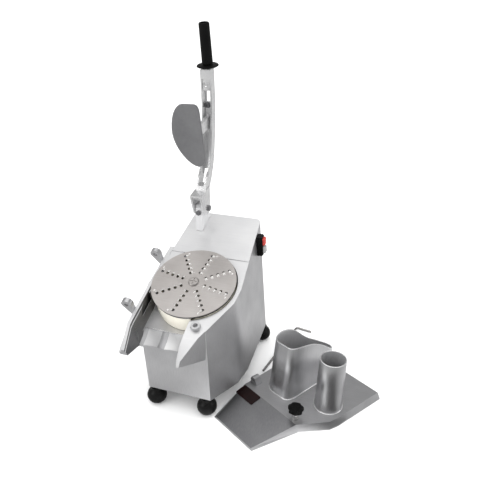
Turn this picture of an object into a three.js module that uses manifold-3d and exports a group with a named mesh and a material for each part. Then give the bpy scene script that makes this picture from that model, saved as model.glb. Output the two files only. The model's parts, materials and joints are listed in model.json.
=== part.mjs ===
// Lever-operated vegetable cutter: cast housing with a sloping grating disc, a hinged
// pressing lever, and its hopper lid lifted off beside it with the loose hinge rod.
// Millimetres, +X right, +Y to the rear, +Z up. The hopper lid lies on the floor.
import * as THREE from 'three';
import { mergeVertices } from 'three/addons/utils/BufferGeometryUtils.js';
import Module from 'manifold-3d';

const wasm = await Module();
wasm.setup();

// Clearances and cutting overrun
const seatGap = 0.3;
const runGap = 0.6;
const overrun = 20;
const bond = 1;

// Faces round a cylinder, by how large it is
const ringFacets = 48;
const shaftFacets = 20;
const pinFacets = 16;
const holeFacets = 12;

// Sloping deck and the cutting disc set into it
const deckTilt = THREE.MathUtils.degToRad(21.3);
const discX = -7;
const discY = 125.3;
const discZ = 276.9;
const deckDrop = 8;
const discRadius = 102.5;
const boreGap = 2.8;
const bowlWall = 4.5;
const bowlDepth = 33;
const bowlFloor = 5;

// Housing plan at its foot, and how far each wall leans in per unit of height
const footZ = 46;
const frontHalfWidth = 78;
const flareX = 119;
const flareY = 78;
const widestX = 127;
const widestY = 133;
const sideRearX = 116.9;
const rearY = 357;
const rearCornerRadius = 25;
const rearCornerTopRadius = 12;
const rearCornerSteps = 4;
const frontDraftShare = 0.08;
const flareDraftShare = 0.1;
const sideDraftShare = 0.08;
const housingWall = 6;
const leftFrontSpread = 36;
const leftFlareSpread = 20;

// Housing roof behind the disc
const deckStepY = 214;
const deckStep = 1.6;
const creaseY = 301;
const creaseZ = 338;
const rearTopY = 361;
const rearTopZ = 360;
const reachZ = rearTopZ;
const roofThickness = 6;

// Discharge channel and its apron
const channelLeftX = -90;
const channelRightX = 20;
const apronFootZ = 157;
const apronDepth = 5;
const apronSteps = 8;

// Left wing beside the channel
const wingTipX = -108;
const wingFrontX = -119;
const wingMidX = -118;
const wingRearX = -114;
const wingInnerX = -92;
const wingStripWidth = 11;
const wingStepDepth = 7;
const wingTipY = -55;
const wingTipZ = 186;
const wingTipFootY = -48;
const wingTipFootZ = 168;
const wingBendY = -4;
const wingRootY = 5;
const wingRootZ = 157;
const wingMidY = 120;
const wingMidFootZ = 204;
const wingRearY = 228;
const wingRearFootZ = 268;

// Right horn beside the channel
const hornTipY = -52;
const hornTipZ = 187;
const hornTipFootY = -59;
const hornTipFootZ = 174;
const hornTipInnerX = 25;
const hornTipOuterX = 36;
const hornBendOuterX = 56;
const hornUnderY = -27;
const hornUnderZ = 164;
const hornRootY = 12;
const hornRootZ = 151;

// Hinge lugs on the left edge and the hinge rod that passes through them
const hingeRodRadius = 2.8;
const lugThickness = 12;
const lugRadius = 13;
const lugReach = 13;
const lugRise = 12;
const lugFootDrop = 34;
const lugHoleRadius = 5;
const lugShoulderShare = 0.33;
const lugCrownShare = 0.86;
const lugHollowShare = 0.8;
const lugWaistShare = 0.6;
const frontLugSlope = -99;
const rearLugSlope = 61;

// Lock boss in the deck
const lockBossX = 41;
const lockBossSlope = -117;
const lockBossRadius = 12;
const lockBossHeight = 9;
const lockBossBore = 5.5;
const lockBossBevelShare = 1.25;
const lockBossCrownShare = 0.86;

// Base plate and feet
const basePlateThickness = 2.4;
const basePlateInset = 2;
const footRadius = 24;
const footNeckRadius = 13;
const footHeight = 43;
const footShares = [[0.72, 0], [0.9, 0.09], [1, 0.28], [0.98, 0.48], [0.86, 0.7]];
const footNeckShare = 0.86;
const frontFootX = 64.5;
const frontFootY = 10.5;
const rearFootX = 108;
const rearFootY = 332;

// Grating plate: rows of raised teeth around the hub
const plateThickness = 1.2;
const toothRows = 8;
const teethPerRow = 5;
const rowAngle = THREE.MathUtils.degToRad(33.7);
const firstToothRadius = 30.5;
const toothPitch = 14.7;
const toothLength = 9;
const toothWidth = 6;
const toothRise = 2.6;
const toothMouthShare = 0.36;
const rivetCircle = 94.1;
const rivetRadius = 3;
const rivetRise = 0.7;
const rivetCrownShare = 0.6;
const rivetAngle = THREE.MathUtils.degToRad(4.2);
const hubHoleRadius = 5;
const hubScrewRadius = 13;
const hubScrewRise = 3.2;
const hubScrewShank = 4;
const hubScrewReach = 16;
const hubSlotWidth = 2.6;
const hubSlotLength = 17;
const hubSlotDepth = 1.6;
const hubScrewEdgeShare = 0.45;
const hubScrewCrownShare = 0.8;

// Disc carrier ring with four arms
const carrierOuter = 101.2;
const carrierInner = 89;
const carrierDepth = 6.4;
const carrierArmWidth = 13;
const carrierArmDepth = 4.6;
const carrierArms = 4;
const carrierHubRadius = 18;
const carrierHubDepth = 7.2;

// Ejector with curved vanes
const ejectorRadius = 97;
const ejectorFloor = 3;
const ejectorHubRadius = 17;
const ejectorVanes = 3;
const vaneThickness = 4;
const vaneSweep = THREE.MathUtils.degToRad(112);
const vaneSpiral = THREE.MathUtils.degToRad(80);
const vaneSteps = 10;
const vaneStart = THREE.MathUtils.degToRad(-172);

// Drive under the bowl
const shaftRadius = 9;
const bearingFlangeRadius = 40;
const bearingFlangeThickness = 6;
const bearingBarrelRadius = 27;
const bearingBarrelLength = 56;
const bearingOuter = 18;
const bearingWidth = 12;
const pulleyWidth = 16;
const drivenPulleyRadius = 55;
const motorPulleyRadius = 18;
const pulleyGrooveDepth = 7;
const pulleyGrooveFlat = 5;
const pulleyRim = 2;
const beltThickness = 5;
const shaftRunOut = 6;
const pulleyGapBelow = 6;
const motorOffset = 84;
const motorRadius = 52;
const motorLength = 100;
const motorShaftRadius = 7;
const motorRibs = 12;
const motorRibDepth = 3;
const motorRibWidth = 4;
const motorBossRadius = 24;
const motorBossHeight = 4;
const bracketSheet = 4;
const bracketHalfWidth = 42;
const capacitorRadius = 18;
const capacitorLength = 75;
const capacitorX = -70;
const capacitorY = 240;
const microswitchWidth = 18;
const microswitchHeight = 16;
const microswitchDepth = 8;
const microswitchX = 44;
const microswitchSlope = -107;
const glandX = 62;
const glandZ = 84;
const glandRadius = 11;
const glandShankRadius = 7.5;
const glandNoseRadius = 8;
const glandFlange = 5;
const glandNose = 14;
const glandBore = 4;
const glandNoseShare = 0.8;

// Pressing lever, its bracket and its pin
const pivotX = -56.5;
const pivotY = 318;
const pivotRise = 44.77;
const pivotZ = roofHeight(pivotY) + pivotRise;
const leverSwing = THREE.MathUtils.degToRad(102);
const bracketWidth = 19;
const bracketFrontY = 28.5;
const bracketRearY = 21;
const bracketTopZ = 15;
const bracketFootRear = 29;
const bracketFootThickness = 4;
const bracketChamfer = 7;
const pinRadius = 5;
const pinHeadRadius = 7.5;
const pinHeadLength = 4.5;
const forkWidth = 31;
const cheekThickness = 5;
const forkEyeRadius = 15;
const forkFrontY = 47;
const forkFrontZ = 46;
const forkTopZ = 57;
const forkTopThickness = 5;
const forkLip = 3;
const forkEyeShare = 0.7;
const forkWindowStep = 2;
const forkFootFrontY = 28;
const forkFootZ = 9;
const armWidth = 28;
const armDepth = 25;
const armRail = 4;
const armWeb = 5;
const armFootY = 13;
const armFootZ = 51;
const armBendY = 71;
const armBendZ = 266;
const armTopY = 66;
const armTopZ = 342;
const armCurveShares = [[0.5, 0.18], [0.78, 0.41], [0.93, 0.68]];
const troughShares = [0.12, 0.93];
const armSteps = 11;
const windowWidth = 15;
const lowerWindowZ = 78;
const lowerWindowHeight = 34;
const upperWindowZ = 275;
const upperWindowHeight = 26;
const stopBoltDrop = 4;
const stopBoltHead = 7;
const stopBoltHeadLength = 6;
const stopBoltShank = 4;
const stopBoltReach = 14;
const guardRadius = 28;
const guardThickness = 4;
const guardFaceShare = 0.9;
const guardEdgeShare = 0.45;
const guardShoulderShare = 0.94;
const guardHubShare = 1.3;
const gripLean = THREE.MathUtils.degToRad(10.5);
const gripBoreDepth = 45;
const handleSetBack = 5;
const guardSeat = 5;
const gripRadius = 13.7;
const gripEndRadius = 13;
const gripLength = 96;
const gripHollowRadius = 9;
const gripHollowDepth = 12;
const gripNeckShare = 0.86;
const gripSwellShare = 0.25;
const gripCrownShare = 0.2;
const tangRadius = 6;

// Presser hung from the lever
const presserStandoff = 60;
const presserZ = 201;
const presserX = -56;
const presserShift = -16;
const presserThickness = 6;
const presserWidth = 77;
const presserHeight = 156;
const presserArmThickness = 10;
const presserRootHeight = 56;
const presserRootZ = 214;
const presserTipHeight = 26;
const presserPadRadius = 20;
const presserPadThickness = 5;
const presserGussetShare = 0.4;

// Switch box on the right wall
const switchY = 306;
const switchZ = 308;
const switchHeight = 52;
const switchWidth = 26;
const switchDepth = 16;
const switchRim = 2;
const buttonWidth = 18;
const buttonHeight = 18;
const buttonRise = 6;
const buttonTravel = 3;
const buttonSpacing = 23;
const buttonSink = 5;
const wellGap = 0.5;
const buttonFaceShare = 0.86;
const buttonShoulderShare = 0.4;

// Hopper lid: bend line at the local origin, turned on the floor beside the housing
const lidX = 201.7;
const lidY = 61.5;
const lidTurn = THREE.MathUtils.degToRad(-31.8);
const lidHeight = 19.1;
const lidSheet = 3.5;
const lidDraft = 5;
const lidHalfBend = 88;
const lidDepth = 227;
const lidCornerX = 130;
const lidCornerY = 64;
const lidSideX = 135;
const lidSideY = 88;
const lidRearX = 143;
const flapLength = 110.9;
const flapHalfFront = 60.6;
const flapFrontZ = 2.2;
const lidRearSpread = 2;
const hopperWall = 2.8;
const hopperGap = 1;
const hopperFootFlare = 3;
const hopperRightX = 18.2;
const hopperMiddleY = 120;
const hopperSideDraft = 3;
const rimFrontY = 44;
const rimFrontZ = 169;
const rimBreakY = 130;
const rimBreakZ = 147.5;
const rimDropY = 169;
const rimDropZ = 105;
const rimRearZ = 98;
const roundX = 91;
const roundY = 104;
const roundRadius = 28;
const roundFootRadius = 31;
const roundHeight = 133;
const roundWall = 3.5;
const knuckleFrontY = 27;
const knuckleRearY = 197;
const knuckleLength = 18;
const knuckleRadius = 9;
const knuckleRise = 9;
const knuckleInset = 10;
const knuckleBore = 4;
const knuckleToeShare = 0.9;
const knuckleHeelShare = 1.6;
const knuckleShoulderShare = 0.4;
const badgeX = -56;
const badgeY = -17;
const badgeWidth = 58;
const badgeHeight = 31;
const badgeThickness = 1;
const badgeCorner = 2;
const knobX = 72;
const knobY = 14;
const knobRadius = 16;
const knobLobe = 5;
const knobLobes = 7;
const knobLobeSteps = 6;
const knobHeight = 15;
const knobShares = [[1.25, 0.3], [1.25, 0.6], [0.75, 1]];
const knobFootShare = 0.8;
const knobClear = 20;
const stemRadius = 5;
const stemReach = 16;
const stemCollar = 9;

// Hinge rod lying on the floor
const rodStartX = 151.7;
const rodStartY = 190.2;
const rodBendX = 193.1;
const rodBendY = 409.2;
const rodHandle = 46;
const rodCorner = 9;
const rodCornerSteps = 4;
const rodFacets = 10;

// Turn the deck's own frame (origin at the middle of the disc's top) into the housing's
const deckMatrix = new THREE.Matrix4().makeTranslation(discX, discY, discZ)
  .multiply(new THREE.Matrix4().makeRotationX(deckTilt));

// Height of the deck above the floor at a distance from the front
function deckHeight(y) {
  const drop = deckDrop / Math.cos(deckTilt);
  return discZ - drop + (y - discY) * Math.tan(deckTilt);
}

// Lean of the front face at a height
function frontFaceY(z) {
  return (z - footZ) * frontDraftShare;
}

// A closed solid from a closed geometry
function solid(geometry) {
  const bare = geometry.clone();
  bare.deleteAttribute('normal');
  bare.deleteAttribute('uv');
  const merged = mergeVertices(bare);
  return new wasm.Manifold(new wasm.Mesh({
    numProp: 3,
    vertProperties: new Float32Array(merged.attributes.position.array),
    triVerts: new Uint32Array(merged.index.array),
  }));
}

function geometryOf(body) {
  const mesh = body.getMesh();
  const geometry = new THREE.BufferGeometry();
  geometry.setAttribute('position', new THREE.BufferAttribute(mesh.vertProperties, 3));
  geometry.setIndex(new THREE.BufferAttribute(mesh.triVerts, 1));
  geometry.computeVertexNormals();
  return geometry;
}

function unite(bodies) {
  return bodies.reduce((whole, body) => whole.add(body));
}

function box(x0, x1, y0, y1, z0, z1) {
  const geometry = new THREE.BoxGeometry(x1 - x0, y1 - y0, z1 - z0);
  return geometry.translate((x0 + x1) / 2, (y0 + y1) / 2, (z0 + z1) / 2);
}

// Upright cylinder or cone between two heights
function post(x, y, z0, z1, radius, segments, topRadius = radius) {
  const geometry = new THREE.CylinderGeometry(topRadius, radius, z1 - z0, segments);
  geometry.rotateX(Math.PI / 2);
  return geometry.translate(x, y, (z0 + z1) / 2);
}

// Cylinder along X
function bar(x0, x1, y, z, radius, segments) {
  const geometry = new THREE.CylinderGeometry(radius, radius, x1 - x0, segments);
  geometry.rotateZ(-Math.PI / 2);
  return geometry.translate((x0 + x1) / 2, y, z);
}

function outline(points) {
  return new THREE.Shape(points.map(([a, b]) => new THREE.Vector2(a, b)));
}

function extrude(shape, depth, curveSegments) {
  return new THREE.ExtrudeGeometry(shape, { depth, bevelEnabled: false, curveSegments });
}

// Prism standing on a plan outline
function upright(shape, z0, z1, curveSegments) {
  return extrude(shape, z1 - z0, curveSegments).translate(0, 0, z0);
}

// Prism across the machine from a side outline drawn in Y and Z
function across(shape, x0, x1, curveSegments) {
  const turn = new THREE.Matrix4().makeBasis(
    new THREE.Vector3(0, 1, 0), new THREE.Vector3(0, 0, 1), new THREE.Vector3(1, 0, 0));
  return extrude(shape, x1 - x0, curveSegments).applyMatrix4(turn).translate(x0, 0, 0);
}

// Prism along the machine from a front outline drawn in X and Z
function along(shape, y0, y1, curveSegments) {
  const turn = new THREE.Matrix4().makeBasis(
    new THREE.Vector3(1, 0, 0), new THREE.Vector3(0, 0, 1), new THREE.Vector3(0, -1, 0));
  return extrude(shape, y1 - y0, curveSegments).applyMatrix4(turn).translate(0, y1, 0);
}

// Body of revolution about Z from a profile of radius and height
function turned(profile, segments) {
  const points = profile.map(([r, z]) => new THREE.Vector2(r, z));
  return new THREE.LatheGeometry(points, segments).rotateX(Math.PI / 2);
}

// Straight-sided loft between two outlines with as many points each
function loft(lower, upper) {
  const count = lower.length;
  const positions = [...lower, ...upper].flatMap((p) => [p.x, p.y, p.z]);
  const flat = lower.map((p) => new THREE.Vector2(p.x, p.y));
  const cap = THREE.ShapeUtils.triangulateShape(flat, []);
  const faces = [];
  for (const [a, b, c] of cap) {
    faces.push(a, c, b);
    faces.push(a + count, b + count, c + count);
  }
  for (let i = 0; i < count; i += 1) {
    const next = (i + 1) % count;
    faces.push(i, next, next + count);
    faces.push(i, next + count, i + count);
  }
  const geometry = new THREE.BufferGeometry();
  geometry.setAttribute('position', new THREE.Float32BufferAttribute(positions, 3));
  geometry.setIndex(faces);
  return geometry;
}

// Move each side of a closed outline inwards by its own distance
function inset(points, distances) {
  const count = points.length;
  const lines = points.map((p, i) => {
    const q = points[(i + 1) % count];
    const direction = q.clone().sub(p).normalize();
    const inward = new THREE.Vector2(-direction.y, direction.x);
    return { start: p.clone().addScaledVector(inward, distances[i]), direction };
  });
  return lines.map((line, i) => {
    const previous = lines[(i + count - 1) % count];
    const between = line.start.clone().sub(previous.start);
    const turn = previous.direction.cross(line.direction);
    const travel = between.cross(line.direction) / turn;
    return previous.start.clone().addScaledVector(previous.direction, travel);
  });
}

function insetAll(points, distance) {
  return inset(points, points.map(() => distance));
}

function atHeight(points, z) {
  return points.map((p) => new THREE.Vector3(p.x, p.y, z));
}

const group = new THREE.Group();

function add(parent, name, body, color, roughness, metalness) {
  const geometry = body.isBufferGeometry ? body : geometryOf(body);
  const material = new THREE.MeshStandardMaterial({ color, roughness, metalness });
  const mesh = new THREE.Mesh(geometry, material);
  mesh.name = name;
  parent.add(mesh);
  return mesh;
}

// Colours, roughness and metalness of the finishes
const castMetal = [0xc9c9c7, 0.38, 0.9];
const brightSteel = [0xd6d4d2, 0.3, 1];
const darkSteel = [0x6f7073, 0.45, 1];
const blackPlastic = [0x101011, 0.45, 0];
const blackRubber = [0x0c0c0d, 0.8, 0];
const creamPlastic = [0xe6dfcb, 0.5, 0];
const redPlastic = [0xc0302c, 0.4, 0];
const motorPaint = [0x3a4046, 0.55, 0.3];

// Replace a corner of an outline by an arc
function roundCorner(points, index, radius, steps) {
  const corner = points[index];
  const back = points[index - 1].clone().sub(corner).normalize();
  const ahead = points[(index + 1) % points.length].clone().sub(corner).normalize();
  const half = back.angleTo(ahead) / 2;
  const middle = back.clone().add(ahead).normalize().multiplyScalar(radius / Math.sin(half));
  const centre = corner.clone().add(middle);
  const start = corner.clone().addScaledVector(back, radius / Math.tan(half));
  const arc = [];
  for (let i = 0; i <= steps; i += 1) {
    arc.push(start.clone().rotateAround(centre, (Math.PI - 2 * half) * i / steps));
  }
  return [...points.slice(0, index), ...arc, ...points.slice(index + 1)];
}

// Plan of the housing with square rear corners, anticlockwise from the front right corner
const rightSide = [
  new THREE.Vector2(frontHalfWidth, 0),
  new THREE.Vector2(flareX, flareY),
  new THREE.Vector2(widestX, widestY),
  new THREE.Vector2(sideRearX, rearY),
];
const leftSide = rightSide.map((p) => new THREE.Vector2(-p.x, p.y)).reverse();
const squarePlan = [...rightSide, ...leftSide];
const sideDraft = [flareDraftShare, sideDraftShare, sideDraftShare];
const rearDraftShare = 0;
const planDraft = [...sideDraft, rearDraftShare, ...sideDraft.toReversed(), frontDraftShare];

function roundedPlan(points, radius) {
  const left = roundCorner(points, rightSide.length, radius, rearCornerSteps);
  return roundCorner(left, rightSide.length - 1, radius, rearCornerSteps);
}

const climb = reachZ - footZ;
const squareReach = inset(squarePlan, planDraft.map((share) => share * climb));
squareReach[squareReach.length - 1].x -= leftFrontSpread + leftFlareSpread;
squareReach[squareReach.length - 2].x -= leftFlareSpread;
const footPlan = roundedPlan(squarePlan, rearCornerRadius);
const reachPlan = roundedPlan(squareReach, rearCornerTopRadius);

// Side outline under the deck and roof, lowered by a distance
function roofOutline(lowered) {
  return outline([
    [-reachZ, footZ - overrun],
    [rearY + reachZ, footZ - overrun],
    [rearY + reachZ, rearTopZ - lowered],
    [rearTopY, rearTopZ - lowered],
    [creaseY, creaseZ - lowered],
    [deckStepY, deckHeight(deckStepY) + deckStep - lowered],
    [deckStepY, deckHeight(deckStepY) - lowered],
    [-reachZ, deckHeight(-reachZ) - lowered],
  ]);
}

function roofHeight(y) {
  if (y > creaseY) {
    return creaseZ + (y - creaseY) * (rearTopZ - creaseZ) / (rearTopY - creaseY);
  }
  const stepTop = deckHeight(deckStepY) + deckStep;
  return stepTop + (y - deckStepY) * (creaseZ - stepTop) / (creaseY - deckStepY);
}

const boreRadius = discRadius + boreGap;

// Deck-frame helper: cut or fill shapes drawn about the disc axis
function onDeck(geometry) {
  return solid(geometry.applyMatrix4(deckMatrix));
}

function makeWing() {
  const bendZ = deckHeight(wingBendY);
  const plan = [
    [wingRearX, wingRearY],
    [wingMidX, wingMidY],
    [wingFrontX, 0],
    [wingTipX, wingTipY],
  ];
  const strip = plan.map(([x, y]) => [x + wingStripWidth, y]).reverse();
  const top = [
    [wingTipY, wingTipZ],
    [wingBendY, bendZ],
    [wingRearY, deckHeight(wingRearY)],
  ];
  const foot = [
    [wingRearY, wingRearFootZ],
    [wingMidY, wingMidFootZ],
    [wingRootY, wingRootZ],
    [wingTipFootY, wingTipFootZ],
  ];
  const low = top.map(([y, z]) => [y, z - wingStepDepth]);
  const span = -wingFrontX + overrun;
  const outer = solid(upright(outline([...plan, ...strip]), 0, reachZ))
    .intersect(solid(across(outline([...top, ...foot]), -span, span)));
  const shelfPlan = [...plan.slice(0, 3), [wingInnerX - 2 * wingStripWidth, wingTipY],
    [wingInnerX, wingTipFootY], [wingInnerX, wingRearY]];
  const inner = solid(upright(outline(shelfPlan), 0, reachZ))
    .intersect(solid(across(outline([...low, ...foot]), -span, span)));
  return outer.add(inner);
}

function makeHorn() {
  const plan = outline([
    [channelRightX, hornTipY + hornTipInnerX],
    [hornTipInnerX, hornTipFootY],
    [hornTipOuterX, hornTipFootY],
    [hornBendOuterX, wingBendY - wingRootY],
    [frontHalfWidth, hornRootY + overrun],
    [channelRightX, hornRootY + overrun],
  ]);
  const side = outline([
    [hornTipY, hornTipZ],
    [wingBendY, deckHeight(wingBendY)],
    [hornRootY + overrun, deckHeight(hornRootY + overrun)],
    [hornRootY + overrun, hornRootZ],
    [hornRootY, hornRootZ],
    [hornUnderY, hornUnderZ],
    [hornTipFootY, hornTipFootZ],
  ].reverse());
  const drafted = loft(
    atHeight(reachFlare(hornRootZ), hornRootZ - overrun),
    atHeight(reachFlare(reachZ), reachZ));
  return solid(upright(plan, 0, reachZ))
    .intersect(solid(across(side, 0, frontHalfWidth + overrun)))
    .intersect(solid(drafted));
}

// Half plane to the left of the flared right wall, at a height
function reachFlare(z) {
  const share = (z - footZ) / climb;
  const corner = footPlan[0].clone().lerp(reachPlan[0], share);
  const end = footPlan[1].clone().lerp(reachPlan[1], share);
  const direction = end.clone().sub(corner);
  const front = corner.clone().addScaledVector(direction, -1);
  const back = end.clone().addScaledVector(direction, 1);
  return [
    new THREE.Vector2(front.x - reachZ, front.y),
    front,
    back,
    new THREE.Vector2(back.x - reachZ, back.y),
  ];
}

function makeApron() {
  const lipZ = deckHeight(0) - (bowlDepth - deckDrop) / Math.cos(deckTilt) + apronDepth;
  const middle = (channelLeftX + channelRightX) / 2 - apronDepth / 2;
  const halves = [[channelLeftX + bond, middle], [middle, channelRightX - bond]];
  return unite(halves.map(([x0, x1]) => {
    const section = (z) => {
      const face = frontFaceY(z);
      const points = [new THREE.Vector3(x1, face + housingWall, z)];
      points.push(new THREE.Vector3(x0, face + housingWall, z));
      for (let i = 0; i <= apronSteps; i += 1) {
        const share = i / apronSteps;
        const bulge = apronDepth * Math.sin(Math.PI * share);
        points.push(new THREE.Vector3(x0 + (x1 - x0) * share, face - bulge, z));
      }
      return points;
    };
    return solid(loft(section(apronFootZ), section(lipZ)));
  }));
}

function makeHousing() {
  const walls = solid(loft(atHeight(footPlan, footZ), atHeight(reachPlan, reachZ)));
  const cavity = solid(loft(
    atHeight(insetAll(footPlan, housingWall), footZ - overrun),
    atHeight(insetAll(reachPlan, housingWall), reachZ)));
  const span = widestX + overrun;
  const shell = walls.intersect(solid(across(roofOutline(0), -span, span)));
  const hollow = cavity.intersect(solid(across(roofOutline(roofThickness), -span, span)));
  const underBowl = -bowlDepth - bowlFloor;
  const bowl = onDeck(post(0, 0, underBowl, -deckDrop, boreRadius + bowlWall, ringFacets));
  const bowlCut = onDeck(post(0, 0, -bowlDepth, overrun, boreRadius, ringFacets));
  const left = channelLeftX - discX;
  const right = channelRightX - discX;
  const front = -boreRadius - 2 * overrun - bowlDepth;
  const rim = bowlWall;
  const tray = onDeck(box(left - rim, right + rim, front, 0, underBowl, -deckDrop));
  const trayCut = onDeck(box(left, right, front - overrun, 0, -bowlDepth, overrun));
  const shaftHole = onDeck(
    post(0, 0, underBowl - overrun, 0, shaftRadius + runGap + bowlFloor, shaftFacets));
  const glandHole = solid(along(circle(glandX, glandZ, glandShankRadius + seatGap),
    rearY - 2 * housingWall, rearY + overrun, 6));
  const kept = hollow.subtract(bowl).subtract(tray);
  return unite([shell, makeWing(), makeHorn(), makeApron()])
    .subtract(kept)
    .subtract(bowlCut)
    .subtract(trayCut)
    .subtract(shaftHole)
    .subtract(glandHole);
}

function circle(x, y, radius) {
  const shape = new THREE.Shape();
  shape.absarc(x, y, radius, 0, 2 * Math.PI);
  return shape;
}

// Left outer face of the wing at a place along it
function wingOuterX(y) {
  if (y < wingMidY) {
    return wingFrontX + (wingMidX - wingFrontX) * y / wingMidY;
  }
  return wingMidX + (wingRearX - wingMidX) * (y - wingMidY) / (wingRearY - wingMidY);
}

function makeLug(slope) {
  const y = discY + slope * Math.cos(deckTilt);
  const seat = wingOuterX(y) - discX - seatGap;
  const middle = seat - lugReach;
  const web = outline([
    [seat, -lugFootDrop],
    [seat, lugRise + lugRadius * lugShoulderShare],
    [middle + lugRadius / 2, lugRise + lugRadius * lugCrownShare],
    [middle - lugRadius * lugHollowShare, lugRise - lugRadius * lugWaistShare],
  ]);
  const v0 = slope - lugThickness / 2;
  const v1 = slope + lugThickness / 2;
  const eye = solid(along(circle(middle, lugRise, lugRadius), v0, v1, 12));
  const edge = solid(box(seat, seat + 2 * lugRadius, v0 - overrun, v1 + overrun,
    -2 * lugFootDrop, 2 * lugFootDrop));
  return eye.add(solid(along(web, v0, v1)))
    .subtract(solid(along(circle(middle, lugRise, lugHoleRadius), v0 - overrun, v1 + overrun, 8)))
    .subtract(edge);
}

function makeFoot() {
  return turned([
    [0, 0],
    ...footShares.map(([wide, high]) => [footRadius * wide, footHeight * high]),
    [footNeckRadius, footHeight * footNeckShare],
    [footNeckRadius, footHeight],
    [0, footHeight],
  ], pinFacets);
}

const deck = new THREE.Group();
deck.position.set(discX, discY, discZ);
deck.rotation.x = deckTilt;
group.add(deck);

add(group, 'housing', makeHousing(), ...castMetal);
add(deck, 'hinge_lug_front', makeLug(frontLugSlope), ...castMetal);
add(deck, 'hinge_lug_rear', makeLug(rearLugSlope), ...castMetal);

function makeLockBoss() {
  const foot = -deckDrop + seatGap;
  const head = post(0, 0, foot, foot + lockBossHeight, lockBossRadius, 6);
  const bore = post(0, 0, foot - overrun, foot + lockBossHeight + overrun, lockBossBore, pinFacets);
  const bevel = post(0, 0, foot, foot + lockBossHeight, lockBossRadius * lockBossBevelShare,
    shaftFacets, lockBossRadius * lockBossCrownShare);
  return solid(head).intersect(solid(bevel)).subtract(solid(bore));
}
const lockBoss = add(deck, 'lock_boss', makeLockBoss(), ...brightSteel);
lockBoss.position.set(lockBossX - discX, lockBossSlope, 0);

const basePlan = insetAll(footPlan, basePlateInset).map((p) => [p.x, p.y]);
const basePlate = upright(outline(basePlan), footZ - seatGap - basePlateThickness, footZ - seatGap);
add(group, 'base_plate', basePlate, ...darkSteel);

const footTop = footZ - 2 * seatGap - basePlateThickness;
for (const [name, x, y] of [
  ['foot_front_left', -frontFootX, frontFootY],
  ['foot_front_right', frontFootX, frontFootY],
  ['foot_rear_left', -rearFootX, rearFootY],
  ['foot_rear_right', rearFootX, rearFootY],
]) {
  const foot = add(group, name, makeFoot(), ...blackRubber);
  foot.position.set(x, y, footTop - footHeight);
}

// Grating plate with its pressed-up cutting lips
function makeTooth(radius, angle) {
  const turn = new THREE.Matrix4().makeRotationZ(angle)
    .multiply(new THREE.Matrix4().makeTranslation(radius, 0, 0));
  const ball = new THREE.SphereGeometry(1, 6, 4).rotateX(Math.PI / 2);
  ball.scale(toothLength / 2, toothWidth, toothRise + plateThickness);
  const dome = solid(ball.translate(0, -toothWidth / 4, -plateThickness).applyMatrix4(turn));
  const half = solid(box(-toothLength, toothLength, -2 * toothWidth, -toothWidth / 4,
    -plateThickness, 2 * toothRise).applyMatrix4(turn));
  const mouth = solid(box(-toothLength * toothMouthShare, toothLength * toothMouthShare,
    -toothWidth / 2, toothWidth / 2, -overrun, overrun).applyMatrix4(turn));
  return { lip: dome.intersect(half), mouth };
}

function makeGratingPlate() {
  const sheet = solid(post(0, 0, -plateThickness, 0, discRadius, ringFacets));
  const lips = [];
  const cuts = [];
  for (let row = 0; row < toothRows; row += 1) {
    for (let k = 0; k < teethPerRow; k += 1) {
      const angle = rowAngle + row * 2 * Math.PI / toothRows;
      const tooth = makeTooth(firstToothRadius + k * toothPitch, angle);
      lips.push(tooth.lip);
      cuts.push(tooth.mouth);
    }
  }
  const rivets = [];
  for (let i = 0; i < toothRows; i += 1) {
    const angle = rivetAngle + (2 * i + 1) * Math.PI / toothRows;
    const x = rivetCircle * Math.cos(angle);
    const y = rivetCircle * Math.sin(angle);
    rivets.push(solid(post(x, y, -plateThickness / 2, rivetRise, rivetRadius, holeFacets,
      rivetRadius * rivetCrownShare)));
  }
  return unite([sheet, ...lips, ...rivets])
    .subtract(unite(cuts))
    .subtract(solid(post(0, 0, -overrun, overrun, hubHoleRadius, pinFacets)));
}

function makeCarrier() {
  const top = -plateThickness - seatGap;
  const ring = solid(post(0, 0, top - carrierDepth, top, carrierOuter, ringFacets))
    .subtract(solid(post(0, 0, top - overrun, top + overrun, carrierInner, ringFacets)));
  const arms = [];
  for (let i = 0; i < carrierArms; i += 1) {
    const arm = box(0, carrierInner + bond, -carrierArmWidth / 2, carrierArmWidth / 2,
      top - carrierArmDepth, top);
    arm.rotateZ(rowAngle + Math.PI / toothRows + i * 2 * Math.PI / carrierArms);
    arms.push(solid(arm));
  }
  const hub = solid(post(0, 0, top - carrierHubDepth, top, carrierHubRadius, shaftFacets));
  const bore = solid(post(0, 0, -overrun, overrun, shaftRadius + seatGap, shaftFacets));
  return unite([ring, hub, ...arms]).subtract(bore);
}

function makeHubScrew() {
  const head = turned([
    [0, seatGap],
    [hubScrewRadius, seatGap],
    [hubScrewRadius, seatGap + hubScrewRise * hubScrewEdgeShare],
    [hubScrewRadius * hubScrewCrownShare, seatGap + hubScrewRise],
    [0, seatGap + hubScrewRise],
  ], shaftFacets);
  const top = seatGap + hubScrewRise;
  const shank = post(0, 0, -hubScrewReach, top - hubSlotDepth, hubScrewShank, holeFacets);
  const slot = (length, width) => solid(box(-length / 2, length / 2, -width / 2, width / 2,
    top - hubSlotDepth, top + overrun));
  return solid(head).add(solid(shank))
    .subtract(slot(hubSlotLength, hubSlotWidth))
    .subtract(slot(hubSlotWidth, hubSlotLength));
}

const ejectorTop = -plateThickness - seatGap - carrierHubDepth - runGap;
const ejectorFoot = -bowlDepth + 2 * runGap;

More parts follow.
